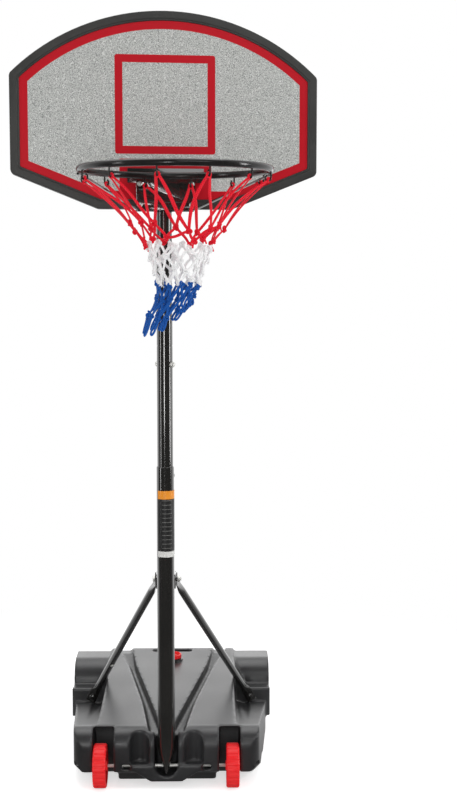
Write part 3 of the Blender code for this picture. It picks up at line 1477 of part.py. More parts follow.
def main():
    global PARTS, CUTTERS
    clear_scene()
    PARTS = new_collection("basketball_stand")
    CUTTERS = new_collection("cutters")
    black_steel = paint("black_steel", (0.018, 0.017, 0.016), 0.32)
    zinc = paint("zinc", (0.72, 0.72, 0.70), 0.3, 1.0)
    tank_plastic = paint("tank_plastic", (0.045, 0.045, 0.047), 0.45)
    black_plastic = paint("black_plastic", (0.02, 0.02, 0.02), 0.5)
    red_plastic = paint("red_plastic", (0.72, 0.02, 0.03), 0.38)
    rubber = paint("seal_rubber", (0.02, 0.02, 0.02), 0.8)
    frame_plastic = paint("frame_plastic", (0.06, 0.06, 0.056), 0.5)
    panel_print = paint("panel_print", (0.40, 0.41, 0.40), 0.45)
    sticker = paint("sticker", (0.10, 0.10, 0.10), 0.5)
    red_cord = paint("red_cord", (0.75, 0.01, 0.03), 0.7)
    white_cord = paint("white_cord", (0.85, 0.85, 0.85), 0.7)
    blue_cord = paint("blue_cord", (0.01, 0.06, 0.38), 0.7)

    base = empty("base", (0, POLE_Y, 0))
    mast = empty("mast", (0, POLE_Y, 0), HEAD_TURN)

    tank = build_tank(base, tank_plastic)
    cut_foot_holes(tank, base)
    build_filler(base, red_plastic, rubber)
    build_axle(base, zinc, black_plastic)
    for name, side in (("wheel_left", -1), ("wheel_right", 1)):
        build_wheel(name, side, base, red_plastic)
    build_lower_pole(base, black_steel)
    build_lock(base, black_plastic, zinc)
    build_label(base, sticker)
    build_strut_bracket(base, black_steel)
    for name, side in (("strut_left", -1), ("strut_right", 1)):
        build_strut(name, side, base, black_steel)
    build_strut_fasteners(base, zinc, black_steel)

    build_upper_poles(mast, black_steel, zinc, black_plastic)
    build_board(mast, frame_plastic, panel_print)
    build_rim_plate(mast, black_steel)
    build_strap(mast, black_steel, zinc)
    build_rim_fasteners(mast, zinc)
    build_rim(mast, black_steel)
    for name, side in (("brace_left", -1), ("brace_right", 1)):
        build_brace(name, side, mast, black_steel)
    build_net(mast, red_cord, white_cord, blue_cord)
    bpy.context.view_layer.update()


main()
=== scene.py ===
import json
import random
from functools import partial
from math import acos, cos, degrees, hypot, pi, radians, sin, sqrt, tan, tau

import bmesh
import bpy
from mathutils import Matrix, Vector


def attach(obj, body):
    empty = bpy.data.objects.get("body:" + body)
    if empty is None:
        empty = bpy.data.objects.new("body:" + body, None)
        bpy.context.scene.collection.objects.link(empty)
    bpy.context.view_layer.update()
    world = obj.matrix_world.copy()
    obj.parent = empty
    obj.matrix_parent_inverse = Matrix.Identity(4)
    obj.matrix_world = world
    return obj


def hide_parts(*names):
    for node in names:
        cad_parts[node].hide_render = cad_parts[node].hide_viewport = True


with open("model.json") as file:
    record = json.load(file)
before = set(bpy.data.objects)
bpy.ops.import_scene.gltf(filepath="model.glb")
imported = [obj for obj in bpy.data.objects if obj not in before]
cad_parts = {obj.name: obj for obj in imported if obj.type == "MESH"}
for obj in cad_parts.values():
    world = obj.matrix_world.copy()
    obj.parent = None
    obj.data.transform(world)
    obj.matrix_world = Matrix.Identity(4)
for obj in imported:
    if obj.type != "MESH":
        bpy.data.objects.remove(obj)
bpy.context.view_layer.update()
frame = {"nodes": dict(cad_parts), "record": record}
nodes = frame["nodes"]
print("frame loaded:", len(nodes), "nodes")


class Values(dict):
    # User values of one piece, also read as attributes
    __getattr__ = dict.__getitem__


# The pole's axis, and the head turned about it as the player sees it in the photo
poleY = -0.3425
headTurn = radians(6.2)
baseFrame = Matrix.Translation((0, poleY, 0))
headFrame = baseFrame @ Matrix.Rotation(headTurn, 4, "Z")
places = {"base": baseFrame, "mast": headFrame}


# Nodes

def putInto(made, inputs):
    # Each input gets a link from a socket, or a plain value
    for key, value in inputs.items():
        if isinstance(value, bpy.types.NodeSocket):
            made.id_data.links.new(value, made.inputs[key])
        else:
            made.inputs[key].default_value = value


def node(near, kind, inputs=None, **values):
    # A new node in the same tree as another node or socket, or in the tree itself
    made = near.id_data.nodes.new("ShaderNode" + kind)
    for key, value in values.items():
        setattr(made, key, value)
    putInto(made, inputs or {})
    return made


def maths(operation, *values):
    near = next(value for value in values if isinstance(value, bpy.types.NodeSocket))
    return node(near, "Math", dict(enumerate(values)), operation=operation).outputs[0]


plus, minus, times, larger, smaller, below = (
    partial(maths, name) for name in ("ADD", "SUBTRACT", "MULTIPLY", "MAXIMUM", "MINIMUM", "LESS_THAN"))


def between(value, low, high, lowest=0.0, **values):
    # The lowest value at low, 1 at high, straight in between
    inputs = {"Value": value, "From Min": low, "From Max": high, "To Min": lowest}
    return node(value, "MapRange", inputs, **values).outputs[0]


def blendColour(share, first, second):
    inputs = {"Factor": share}
    for index, value in ((6, first), (7, second)):
        inputs[index] = value if isinstance(value, bpy.types.NodeSocket) else (*value, 1)
    return node(share, "Mix", inputs, data_type="RGBA").outputs[2]


def noise(place, scale, detail, roughness=0.5):
    inputs = {"Vector": place, "Scale": scale, "Detail": detail, "Roughness": roughness}
    return node(place, "TexNoise", inputs).outputs["Fac"]


def bumpFrom(height, distance, strength):
    inputs = {"Height": height, "Distance": distance, "Strength": strength}
    return node(height, "Bump", inputs).outputs[0]


def newMaterial(name, colour, inputs):
    # Gives back the material's main shader and the place on the object
    material = bpy.data.materials.new(name)
    material.use_nodes = True
    shader = material.node_tree.nodes["Principled BSDF"]
    putInto(shader, {"Base Color": (*colour, 1), **inputs})
    return shader, node(shader, "TexCoord").outputs["Object"]


# Camera, lights and the pale studio

camera = Values(place=(0.1073, -3.5443, 1.27), pitch=5.62, heading=-0.8, lens=60.53, sensor=36, clip=60)


def addCamera():
    bpy.ops.object.camera_add(location=camera.place)
    eye = bpy.context.object
    eye.rotation_euler = (radians(90 - camera.pitch), 0, radians(camera.heading))
    eye.data.sensor_width = camera.sensor
    eye.data.lens = camera.lens
    eye.data.clip_end = camera.clip
    bpy.context.scene.camera = eye


lamps = {
    # Place, aim, width and height, watts
    "sideStrip": ((-3.6, -2.3, 1.7), (0, poleY, 1.4), (0.35, 3.4), 26),
    "poleStrip": ((-0.45, -4.5, 0.95), (0, poleY, 0.95), (0.55, 1.1), 22),
    "frontBox": ((1.6, -4.2, 3.4), (0, poleY, 0.9), (2.6, 1.8), 30),
    "topBox": ((-0.2, 0.2, 4.4), (0, poleY, 0), (3.2, 3.2), 60),
    "rightStrip": ((3.4, -0.9, 1.6), (0.1, -0.6, 1.3), (0.5, 2.6), 40),
    "backBox": ((0.2, 3.6, 1.55), (0, poleY, 0.15), (3.2, 1.2), 11),
}


def addLamps():
    for name, (place, aim, size, watts) in lamps.items():
        bpy.ops.object.light_add(type="AREA", location=place)
        light = bpy.context.object
        light.name = name
        light.data.shape = "RECTANGLE"
        light.data.size, light.data.size_y = size
        light.data.energy = watts
        light.rotation_euler = (Vector(aim) - Vector(place)).to_track_quat("-Z", "Y").to_euler()
        light.visible_camera = False


studio = Values(worldLight=0.5, floorColour=(0.9, 0.9, 0.9), floorSize=60, floorGlow=0.6, fade=(0.55, 1.5),
    darkSide=0.07, worldTurn=(-0.35, 0.45), floorTurn=(-0.5, 0.7))
paper = (1, 1, 1, 1)


def shadeAhead(way, limits):
    # What reflections see: white behind the object, dim on the player's side
    ahead = node(way, "SeparateXYZ", {0: way}).outputs[1]
    return between(ahead, *limits, studio.darkSide)


def raySorts(near):
    # Camera rays, those with the rays that go through glass, and reflections
    rays = node(near, "LightPath").outputs
    direct = rays["Is Camera Ray"]
    return direct, larger(direct, rays["Is Transmission Ray"]), rays["Is Glossy Ray"]


def addWorld():
    world = bpy.data.worlds.new("studio")
    bpy.context.scene.world = world
    world.use_nodes = True
    tree = world.node_tree
    tree.nodes.clear()
    shade = shadeAhead(node(tree, "TexCoord").outputs["Generated"], studio.worldTurn)
    _, seen, glossy = raySorts(tree)
    strengths = (studio.worldLight, larger(times(glossy, shade), seen))
    lit, plain = (node(tree, "Background", {"Color": paper, "Strength": strength}) for strength in strengths)
    mix = node(tree, "MixShader", {0: larger(glossy, seen), 1: lit.outputs[0], 2: plain.outputs[0]})
    node(tree, "OutputWorld", {0: mix.outputs[0]})


def addFloor():
    # Lit and shadowed round the base, and plain white further out so that no horizon shows
    bpy.ops.mesh.primitive_plane_add(size=studio.floorSize, location=(0, 0, 0))
    floor = bpy.context.object
    floor.name = "studioFloor"
    shader, place = newMaterial("studioFloor", studio.floorColour,
                                {"Roughness": 0.9, "Specular IOR Level": 0.1})
    direct, seen, glossy = raySorts(shader)
    reach = node(place, "VectorMath", {0: place}, operation="LENGTH").outputs["Value"]
    far = between(reach, *studio.fade, interpolation_type="SMOOTHSTEP")
    strengths = (times(direct, studio.floorGlow), larger(seen, shadeAhead(place, studio.floorTurn)))
    glow, plain = (node(shader, "Emission", {"Color": paper, "Strength": strength}) for strength in strengths)
    near = node(shader, "AddShader", {0: shader.outputs[0], 1: glow.outputs[0]})
    share = larger(times(far, seen), glossy)
    both = node(shader, "MixShader", {0: share, 1: near.outputs[0], 2: plain.outputs[0]})
    putInto(shader.id_data.nodes["Material Output"], {"Surface": both.outputs[0]})
    floor.data.materials.append(bpy.data.materials["studioFloor"])


# Small helpers for editing pieces

def pick(piece, *others):
    if bpy.context.object and bpy.context.object.mode == "EDIT":
        bpy.ops.object.mode_set(mode="OBJECT")
    bpy.ops.object.select_all(action="DESELECT")
    for one in (piece, *others):
        one.select_set(True)
    bpy.context.view_layer.objects.active = piece


def newPiece(name, mesh):
    piece = bpy.data.objects.new(name, mesh)
    bpy.context.scene.collection.objects.link(piece)
    return piece


def change(piece, kind, **values):
    # A modifier that is applied at once
    modifier = piece.modifiers.new("change", kind)
    for key, value in values.items():
        setattr(modifier, key, value)
    pick(piece)
    bpy.ops.object.modifier_apply(modifier=modifier.name)


def ringForm(name, rings, wrap=False):
    # A skin drawn from ring to ring of points; it is capped at both ends, or wrapped round to the first ring
    bpy.ops.mesh.primitive_circle_add(vertices=len(rings[0]), fill_type="NOTHING" if wrap else "NGON")
    piece = bpy.context.object
    piece.name = name
    piece.data.name = name
    bpy.ops.object.mode_set(mode="EDIT")
    order = range(len(rings[0]))
    for step, points in enumerate(rings + rings[:wrap]):
        if step:
            bpy.ops.mesh.extrude_region_move()
        form = bmesh.from_edit_mesh(piece.data)
        form.verts.ensure_lookup_table()
        if step:
            # Each point of the last ring is joined to one drawn, selected point
            lasts = [form.verts[index] for index in order]
            joined = ([edge.other_vert(last) for edge in last.link_edges] for last in lasts)
            order = [next(end.index for end in ends if end.select) for ends in joined]
        for index, point in zip(order, points):
            form.verts[index].co = point
        bmesh.update_edit_mesh(piece.data)
    bpy.ops.mesh.select_all(action="SELECT")
    if wrap:
        bpy.ops.mesh.remove_doubles(threshold=0.000001)
    bpy.ops.mesh.normals_make_consistent(inside=False)
    bpy.ops.object.mode_set(mode="OBJECT")
    return piece


def ovalRing(across, depth, height, count):
    return [(across * cos(tau * k / count), depth * sin(tau * k / count), height)
            for k in range(count)]


def turnedForm(name, profile, count):
    # A lathe-turned ring about Z; the profile is closed and has (radius, height) pairs
    return ringForm(name, [ovalRing(radius, radius, height, count) for radius, height in profile], wrap=True)


def prismForm(name, outline, axis, low, high):
    # A flat outline drawn along an axis from low to high
    at = "XYZ".index(axis)
    return ringForm(name, [[(*point[:at], level, *point[at:]) for point in outline] for level in (low, high)])


def boxForm(name, low, high):
    outline = [(low[0], low[1]), (high[0], low[1]), (high[0], high[1]), (low[0], high[1])]
    return prismForm(name, outline, "Z", low[2], high[2])


def settle(piece, place):
    # The place and turn go into the mesh, and the object stays at the origin
    piece.matrix_world = place @ piece.matrix_world
    pick(piece)
    bpy.ops.object.transform_apply(location=True, rotation=True, scale=True)


def rodForm(name, start, end, radius, count):
    start = Vector(start)
    along = Vector(end) - start
    bpy.ops.mesh.primitive_cylinder_add(vertices=count, radius=radius, depth=along.length)
    rod = bpy.context.object
    rod.name = name
    settle(rod, Matrix.Translation(start + along / 2) @ along.to_track_quat("Z", "Y").to_matrix().to_4x4())
    return rod


def softEdges(piece, width, angle=35):
    change(piece, "BEVEL", width=width, segments=2, limit_method="ANGLE", angle_limit=radians(angle))


def cutWith(piece, tool, operation="DIFFERENCE"):
    change(piece, "BOOLEAN", operation=operation, solver="EXACT", object=tool)
    bpy.data.objects.remove(tool, do_unlink=True)


def finishPiece(piece, body, slot, material, *replaced, smooth=35, place=None):
    settle(piece, place or places[body])
    bpy.ops.object.shade_smooth_by_angle(angle=radians(smooth))
    piece.data.materials.clear()
    piece.data.materials.append(bpy.data.materials[material])
    if replaced:
        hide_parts(*replaced)
    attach(piece, body)


# Materials

def newGroup(name, inputs, outputs):
    # An input without a value is a vector, and all the others are numbers
    group = bpy.data.node_groups.new(name, "ShaderNodeTree")
    for label, value in inputs.items():
        kind = "NodeSocketVector" if value is None else "NodeSocketFloat"
        socket = group.interface.new_socket(name=label, in_out="INPUT", socket_type=kind)
        if value is not None:
            socket.default_value = value
    for label in outputs:
        group.interface.new_socket(name=label, in_out="OUTPUT", socket_type="NodeSocketFloat")
    return group, group.nodes.new("NodeGroupInput").outputs, group.nodes.new("NodeGroupOutput")


def buildGrainGroup():
    # Moulded or coated skin: a fine grain, and broad patches that change the gloss
    group, given, made = newGroup("skinGrain", {"Vector": None, "Grain Scale": 900.0, "Patch Scale": 12.0},
                                  ["Height", "Patch", "Speck"])
    place = given["Vector"]
    putInto(made, {
        "Height": noise(place, given["Grain Scale"], 2.0),
        "Patch": between(noise(place, given["Patch Scale"], 3.0), 0.35, 0.65),
        "Speck": between(noise(place, 160.0, 4.0, 0.7), 0.62, 0.74)})
    return group


def buildScuffGroup():
    # Fine handling scratches: two stretched noises crossing each other
    group, given, made = newGroup("handlingScuffs", {"Vector": None, "Scale": 60.0}, ["Mask"])
    masks = []
    for turn, stretch in ((0.5, (1, 14, 1)), (-0.9, (11, 1, 1))):
        inputs = {"Vector": given["Vector"], "Rotation": (0.3, turn, turn), "Scale": stretch}
        turned = node(group, "Mapping", inputs).outputs[0]
        masks.append(between(noise(turned, given["Scale"], 1.0), 0.66, 0.72))
    putInto(made, {"Mask": larger(*masks)})
    return group


def buildBraidGroup():
    # Braided cord on the piece's own UV map: U runs along the cord in cord widths, V goes round it. Shade is
    # painted shade, lowest in the grooves between the strands
    group, given, made = newGroup("cordBraid", {"UV": None, "Strands": 4.0}, ["Height", "Shade"])
    split = node(group, "SeparateXYZ", {0: given["UV"]})
    around = times(split.outputs[1], given["Strands"])
    ribs = [maths("SINE", times(plus(around, times(split.outputs[0], pitch)), tau)) for pitch in (1.1, -1.1)]
    weave = larger(*ribs)
    putInto(made, {"Height": weave, "Shade": between(weave, -0.4, 0.9)})
    return group


grainGroup = buildGrainGroup()
scuffGroup = buildScuffGroup()
braidGroup = buildBraidGroup()


def grainSkin(place, grain, patches):
    inputs = {"Vector": place, "Grain Scale": grain, "Patch Scale": patches}
    return node(place, "Group", inputs, node_tree=grainGroup).outputs


skins = {
    # Colour, worn colour, roughness and its spread, grain and patch scales, depth, scuffs, specks, the rest
    "blackSteel": ((0.0085, 0.0080, 0.0072), (0.022, 0.020, 0.018), 0.14, 0.03, 420, 9, 0.000001, 0.08, 0,
                   {"Coat Weight": 1.0, "Coat IOR": 1.7, "Coat Roughness": 0.10}),
    "rimEnamel": ((0.0065, 0.006, 0.006), (0.03, 0.028, 0.026), 0.17, 0.06, 420, 14, 0.0001, 0.12, 0,
                  {"Specular IOR Level": 0.4}),
    "zincPlate": ((0.74, 0.74, 0.71), (0.45, 0.44, 0.40), 0.32, 0.14, 900, 60, 0.00008, 0.5, 0,
                  {"Metallic": 0.55}),
    "tankSkin": ((0.0125, 0.0125, 0.0135), (0.038, 0.038, 0.041), 0.40, 0.12, 950, 7, 0.00035, 0.22, 0.55,
                 {"Coat Weight": 0.75, "Coat Roughness": 0.34}),
    "blackPlastic": ((0.014, 0.014, 0.014), (0.04, 0.04, 0.04), 0.45, 0.1, 900, 25, 0.0002, 0.2, 0, {}),
    "frameSkin": ((0.026, 0.026, 0.024), (0.058, 0.058, 0.054), 0.46, 0.10, 850, 11, 0.0003, 0.25, 0.2, {}),
    "redPlastic": ((0.82, 0.010, 0.014), (0.86, 0.03, 0.03), 0.36, 0.1, 800, 30, 0.00012, 0.2, 0,
                   {"Specular IOR Level": 0.35}),
    "sealRubber": ((0.018, 0.018, 0.018), (0.04, 0.04, 0.04), 0.75, 0.1, 900, 40, 0.0002, 0.2, 0, {}),
}


def skinMaterial(name, colour, worn, roughness, spread, grain, patches, depth, scuffs, specks, rest):
    # Plastic or coated metal: colour and gloss drift in patches, with a fine grain, specks and light scuffs
    shader, place = newMaterial(name, colour, {"Roughness": roughness, **rest})
    skin = grainSkin(place, grain, patches)
    scuff = node(place, "Group", {"Vector": place, "Scale": 45.0}, node_tree=scuffGroup)
    marks = times(scuff.outputs["Mask"], scuffs)
    tint = blendColour(times(skin["Patch"], 0.35), colour, worn)
    tint = blendColour(times(skin["Speck"], specks), tint, worn)
    gloss = maths("MULTIPLY_ADD", skin["Patch"], spread, roughness - spread / 2)
    putInto(shader, {
        "Base Color": blendColour(marks, tint, worn),
        "Roughness": maths("MULTIPLY_ADD", marks, 0.25, gloss),
        "Normal": bumpFrom(skin["Height"], depth, 0.6)})


# Each cord's colour, and a darker copy of it that is painted into its braid's grooves as shade
cords = {
    "redCord": ((0.86, 0.006, 0.025), (0.46, 0.002, 0.010)),
    "whiteCord": ((0.93, 0.93, 0.93), (0.74, 0.74, 0.76)),
    "blueCord": ((0.006, 0.100, 0.43), (0.003, 0.040, 0.20)),
}


def cordMaterial(name, colour, shade):
    shader, place = newMaterial(name, colour, {
        "Roughness": 0.62, "Sheen Weight": 0.04, "Sheen Roughness": 0.4, "Specular IOR Level": 0.2})
    wrap = node(place, "UVMap", uv_map="cordUV").outputs[0]
    braid = node(place, "Group", {"UV": wrap}, node_tree=braidGroup).outputs
    # Random fuzz and painted shade in the braid's grooves pull the colour towards the darker copy
    fuzzAndGrooveShade = maths("MULTIPLY_ADD", noise(place, 1400.0, 2.0), 0.5, braid["Shade"])
    putInto(shader, {
        "Base Color": blendColour(between(fuzzAndGrooveShade, 0.1, 0.9), shade, colour),
        "Normal": bumpFrom(braid["Height"], 0.0004, 0.7)})


printSizes = Values(crownCentre=1.35, crownRadius=0.505, half=0.355, bottom=1.405, flatHalf=0.155,
    slopeRun=0.2, slopeRise=0.08, bandEnd=0.0415, target=1.6435, targetHalf=(0.116, 0.1125),
    targetBand=0.018, targetCorner=0.006, patchHalf=0.1065, patchTop=1.520, bleed=0.0004)
printColours = Values(red=(0.43, 0.002, 0.010), paleRed=(0.50, 0.004, 0.014), dark=(0.16, 0.167, 0.16),
    mid=(0.41, 0.42, 0.405), pale=(0.75, 0.765, 0.74))


def spanOf(first, second):
    return maths("SQRT", plus(times(first, first), times(second, second)))


def printMaterial():
    # The board's print: speckled grey field, red border along the outline, target and bracket patch
    sizes = printSizes
    tones = printColours
    bleed = sizes.bleed

    def upTo(value, limit):
        return between(value, limit + bleed, limit - bleed)

    shader, place = newMaterial("boardPrint", tones.mid, {"Roughness": 0.34, "Specular IOR Level": 0.16})
    turned = {"Vector": place, "Location": (0, poleY, 0), "Rotation": (0, 0, headTurn)}
    straight = node(place, "Mapping", turned, vector_type="TEXTURE")
    split = node(place, "SeparateXYZ", {0: straight.outputs[0]}).outputs
    across = maths("ABSOLUTE", split[0])
    height = split[2]
    # The crown bounds only what is above its centre
    rise = minus(height, sizes.crownCentre)
    crown = plus(minus(sizes.crownRadius, spanOf(across, rise)), below(rise, 0.0))
    low = minus(height, sizes.bottom)
    run = hypot(sizes.slopeRun, sizes.slopeRise)
    slope = plus(times(minus(across, sizes.flatHalf), -sizes.slopeRise / run),
                 times(low, sizes.slopeRun / run))
    inside = smaller(smaller(crown, minus(sizes.half, across)), smaller(low, slope))
    boxX = minus(across, sizes.targetHalf[0])
    boxZ = minus(maths("ABSOLUTE", minus(height, sizes.target)), sizes.targetHalf[1])
    corner = sizes.targetCorner
    rounded = spanOf(*(larger(plus(box, corner), 0.0) for box in (boxX, boxZ)))
    target = times(upTo(minus(rounded, corner), 0.0),
                   between(plus(larger(boxX, boxZ), sizes.targetBand), -bleed, bleed))
    patch = times(upTo(across, sizes.patchHalf), upTo(height, sizes.patchTop))
    ink = larger(upTo(inside, sizes.bandEnd), larger(target, patch))
    field = blendColour(between(noise(place, 520.0, 3.0, 0.75), 0.40, 0.62), tones.dark, tones.pale)
    chip = node(place, "TexVoronoi", {"Vector": place, "Scale": 650.0})
    chipTone = node(place, "SeparateColor", {0: chip.outputs["Color"]}).outputs[0]
    field = blendColour(times(between(chipTone, 0.45, 0.9), 0.45), field, tones.mid)
    red = blendColour(noise(place, 3.0, 1.0), tones.red, tones.paleRed)
    skin = grainSkin(place, 700, 9)
    putInto(shader, {
        "Base Color": blendColour(ink, field, red),
        "Roughness": maths("MULTIPLY_ADD", skin["Patch"], 0.08, 0.32),
        "Normal": bumpFrom(skin["Height"], 0.00012, 0.4)})


sticker = Values(orangeFrom=0.7180, stripTo=0.5910, tickStep=0.0105, tickWidth=0.0011, tickMiddle=0.004,
    tickHalf=0.0115, film=(0.016, 0.016, 0.016), tick=(0.42, 0.42, 0.40), orange=(0.78, 0.27, 0.012),
    strip=(0.62, 0.62, 0.60))


def stickerMaterial():
    # A plain height scale: an orange band on top, pale ticks on black film, a white strip below
    shader, place = newMaterial("scaleFilm", (0.02, 0.02, 0.02), {"Roughness": 0.35})
    split = node(place, "SeparateXYZ", {0: place}).outputs
    tick = below(maths("MODULO", split[2], sticker.tickStep), sticker.tickWidth)
    wide = below(maths("ABSOLUTE", minus(split[0], sticker.tickMiddle)), sticker.tickHalf)
    film = blendColour(times(times(tick, wide), 0.35), sticker.film, sticker.tick)
    film = blendColour(maths("GREATER_THAN", split[2], sticker.orangeFrom), film, sticker.orange)
    film = blendColour(below(split[2], sticker.stripTo), film, sticker.strip)
    gloss = maths("MULTIPLY_ADD", grainSkin(place, 500, 30)["Patch"], 0.15, 0.28)
    putInto(shader, {"Base Color": film, "Roughness": gloss})


for name, values in skins.items():
    skinMaterial(name, *values)
for name, colours in cords.items():
    cordMaterial(name, *colours)
printMaterial()
stickerMaterial()
print("materials made")
addCamera()
addLamps()
addWorld()
addFloor()
print("studio made")


# Poles

poles = Values(lowerRadius=0.021, lowerTop=0.795, boreFrom=0.6, upperRadius=0.019, wall=0.0015,
    middleBottom=0.465, seam=1.085, gap=0.0003, spigot=0.09, step=(0.002, 0.004), topEnd=1.62, lip=0.0006,
    count=64)
# The lower tube's pressed foot: height above the axle, half width and half depth, in radii
footShares = [(2.86, 1.0, 1.0), (2.3, 0.985, 1.03), (1.62, 0.905, 1.133), (0.905, 0.676, 1.257),
              (0.286, 0.467, 1.324), (-0.286, 0.314, 1.286), (-0.643, 0.190, 1.071), (-0.833, 0.095, 0.714)]
axleZ = 0.0535


def makePoles():
    count, lip, wall, seam = poles.count, poles.lip, poles.wall, poles.seam
    radius, end = poles.lowerRadius, poles.lowerTop
    bore = radius - wall
    rings = [(bore, bore, poles.boreFrom), (bore, bore, end - lip), (bore + lip, bore + lip, end),
             (radius - lip, radius - lip, end), (radius, radius, end - lip)]
    rings += [(across * radius, depth * radius, axleZ + rise * radius) for rise, across, depth in footShares]
    lower = ringForm("lowerTube", [ovalRing(*ring, count) for ring in rings])
    finishPiece(lower, "base", "black_steel", "blackSteel", "lower_pole", smooth=40)
    radius, foot, end = poles.upperRadius, poles.middleBottom, poles.topEnd
    bore = radius - wall
    middle = turnedForm("middleTube", [(radius, seam - lip), (radius, foot + lip), (radius - lip, foot),
                                       (bore, foot), (bore, seam), (radius - lip, seam)], count)
    finishPiece(middle, "mast", "black_steel", "blackSteel", "middle_pole", smooth=40)
    slim = bore - poles.gap
    inner = slim - wall
    start = seam + poles.gap
    tip = seam - poles.spigot
    low, high = poles.step
    top = turnedForm("topTube", [(radius, end), (radius, start + lip), (radius - lip, start), (slim, start),
                                 (slim, tip), (inner, tip), (inner, seam + low), (bore, seam + high),
                                 (bore, end)], count)
    finishPiece(top, "mast", "black_steel", "blackSteel", "top_pole", smooth=40)
    print("poles made")


# Backboard

board = Values(top=1.855, bottom=1.405, half=0.355, arc=0.505, sideDrop=0.370, flat=0.310, rounding=0.014,
    inner=0.006, back=-0.0193, thickness=0.034, lip=0.022, rise=0.002, wall=0.003, chamfer=0.003,
    crownSteps=40, filletSteps=6, panelGap=0.0005, panel=0.0015, gap=0.0003, soft=0.0006, root=0.001,
    groove=((0.0055, 0), (0.0045, 0.0009), (0.0036, 0.0009), (0.0026, 0)))


def arcPoints(centre, radius, start, end, steps):
    points = []
    for k in range(steps + 1):
        angle = radians(start + (end - start) * k / steps)
        points.append((centre[0] + radius * cos(angle), centre[1] + radius * sin(angle)))
    return points


def cornersOf(outline):
    # Each corner with the ones before and after it
    points = [Vector(point) for point in outline]
    return zip(points[-1:] + points[:-1], points, points[1:] + points[:1])


def insetOutline(outline, distance):
    moved = []
    for before, corner, after in cornersOf(outline):
        first = (corner - before).normalized()
        second = (after - corner).normalized()
        inwards = Vector((-first.y, first.x))
        middle = (inwards + Vector((-second.y, second.x))).normalized()
        moved.append(tuple(corner + middle * (distance / middle.dot(inwards))))
    return moved


def filletOutline(corners, radius, steps):
    # Corners are rounded, apart from the blunt ones of a curve
    outline = []
    for before, corner, after in cornersOf(corners):
        back = (before - corner).normalized()
        forth = (after - corner).normalized()
        half = back.angle(forth) / 2
        if half > radians(84):
            outline.append(tuple(corner))
            continue
        reach = radius / tan(half)
        centre = corner + (back + forth).normalized() * (radius / sin(half))
        first = corner + back * reach - centre
        last = corner + forth * reach - centre
        for j in range(steps + 1):
            outline.append(tuple(centre + first.lerp(last, j / steps).normalized() * radius))
    return outline


def boardRing(distance, y):
    # The board's outline moved inwards by a distance, at one depth
    half, top, low = board.half, board.top, board.top - board.sideDrop
    edge = degrees(acos(half / board.arc))
    crown = arcPoints((0, top - board.arc), board.arc, edge, 180 - edge, board.crownSteps)
    corners = [(-board.flat / 2, board.bottom), (board.flat / 2, board.bottom), (half, low), *crown,
               (-half, low)]
    rounding = max(board.rounding - distance, board.inner)
    outline = filletOutline(insetOutline(corners, distance), rounding, board.filletSteps)
    return [(x, y, z) for x, z in outline]


def makeBoard():
    back, wall, chamfer, lip = board.back, board.wall, board.chamfer, board.lip
    soft, root, gap = board.soft, board.root, board.gap
    front = back - board.thickness
    face = front + board.rise
    floor = face + board.panel + gap
    rear = floor + wall
    rings = [(wall + root, rear), (wall, rear + root), (wall, back - soft), (wall - soft, back), (soft, back),
             (0, back - soft)]
    # The front edge rolls over in a quarter round, then a flat lip with a fine step down to the print
    for k in range(5):
        turn = radians(22.5 * k)
        rings.append((chamfer * (1 - cos(turn)), front + chamfer * (1 - sin(turn))))
    rings += [(lip - distance, front + depth) for distance, depth in board.groove]
    rings += [(lip - soft, front), (lip, front + soft), (lip, floor)]
    shell = ringForm("boardShell", [boardRing(*ring) for ring in rings])
    pick(shell, *boardRibs(floor, back))
    bpy.ops.object.join()
    finishPiece(shell, "mast", "frame_plastic", "frameSkin", "board_frame", smooth=32)
    edge = lip + board.panelGap
    panel = ringForm("boardPanel", [boardRing(edge + gap, face), boardRing(edge, face + gap),
                                    boardRing(edge, face + board.panel)])
    finishPiece(panel, "mast", "panel_print", "boardPrint", "board_panel", smooth=30)
    print("board made")


ribs = Values(across=(0.125, 0.25), heights=(1.565, 1.725), thickness=0.003, upDrop=0.001, acrossDrop=0.002,
    slope=0.4, spine=(0.016, 1.62), bossX=0.060, bossHeights=(1.4145, 1.4625), bossRadius=0.009,
    bossBore=0.0045, bossCount=24, soft=0.0004)


def boardRibs(floor, back):
    # Crossing ribs, a spine for the pole and four bolt bosses stand on the tray's floor
    made = []
    sunk = board.wall / 2
    deep = floor + sunk
    half = ribs.thickness / 2
    arc = board.arc
    for across in ribs.across:
        low = board.bottom + max(0.0, across - board.flat / 2) * ribs.slope + sunk
        high = board.top - arc + sqrt(arc ** 2 - across ** 2) - sunk
        for x in (-across, across):
            made.append(boxForm("ribUp", (x - half, deep, low), (x + half, back - ribs.upDrop, high)))
    for z in ribs.heights:
        rise = max(0.0, z - (board.top - arc))
        reach = min(board.half, sqrt(arc ** 2 - rise ** 2)) - sunk
        made.append(boxForm("ribAcross", (-reach, deep, z - half), (reach, back - ribs.acrossDrop, z + half)))
    wide, high = ribs.spine
    made.append(boxForm("spine", (-wide, deep, board.bottom + sunk), (wide, back, high)))
    radius, bore, depth = ribs.bossRadius, ribs.bossBore, back - deep
    profile = [(radius, 0), (radius, depth), (bore, depth), (bore, 0)]
    for x in (-ribs.bossX, ribs.bossX):
        for z in ribs.bossHeights:
            boss = turnedForm("boss", profile, ribs.bossCount)
            settle(boss, Matrix.Translation((x, back, z)) @ Matrix.Rotation(pi / 2, 4, "X"))
            made.append(boss)
    for piece in made:
        softEdges(piece, ribs.soft)
    return made


# Rim with its hooks

rim = Values(radius=0.202, tube=0.0075, z=1.477, reach=0.320, hooks=12, wire=0.0019, curl=0.006,
    drop=0.0125, count=160, sides=24, hookOut=0.002, shank=(0.002, -0.004), curlTurn=-250)


def onRim(radius, angle, z):
    return Vector((radius * sin(angle), -rim.reach + radius * cos(angle), z))


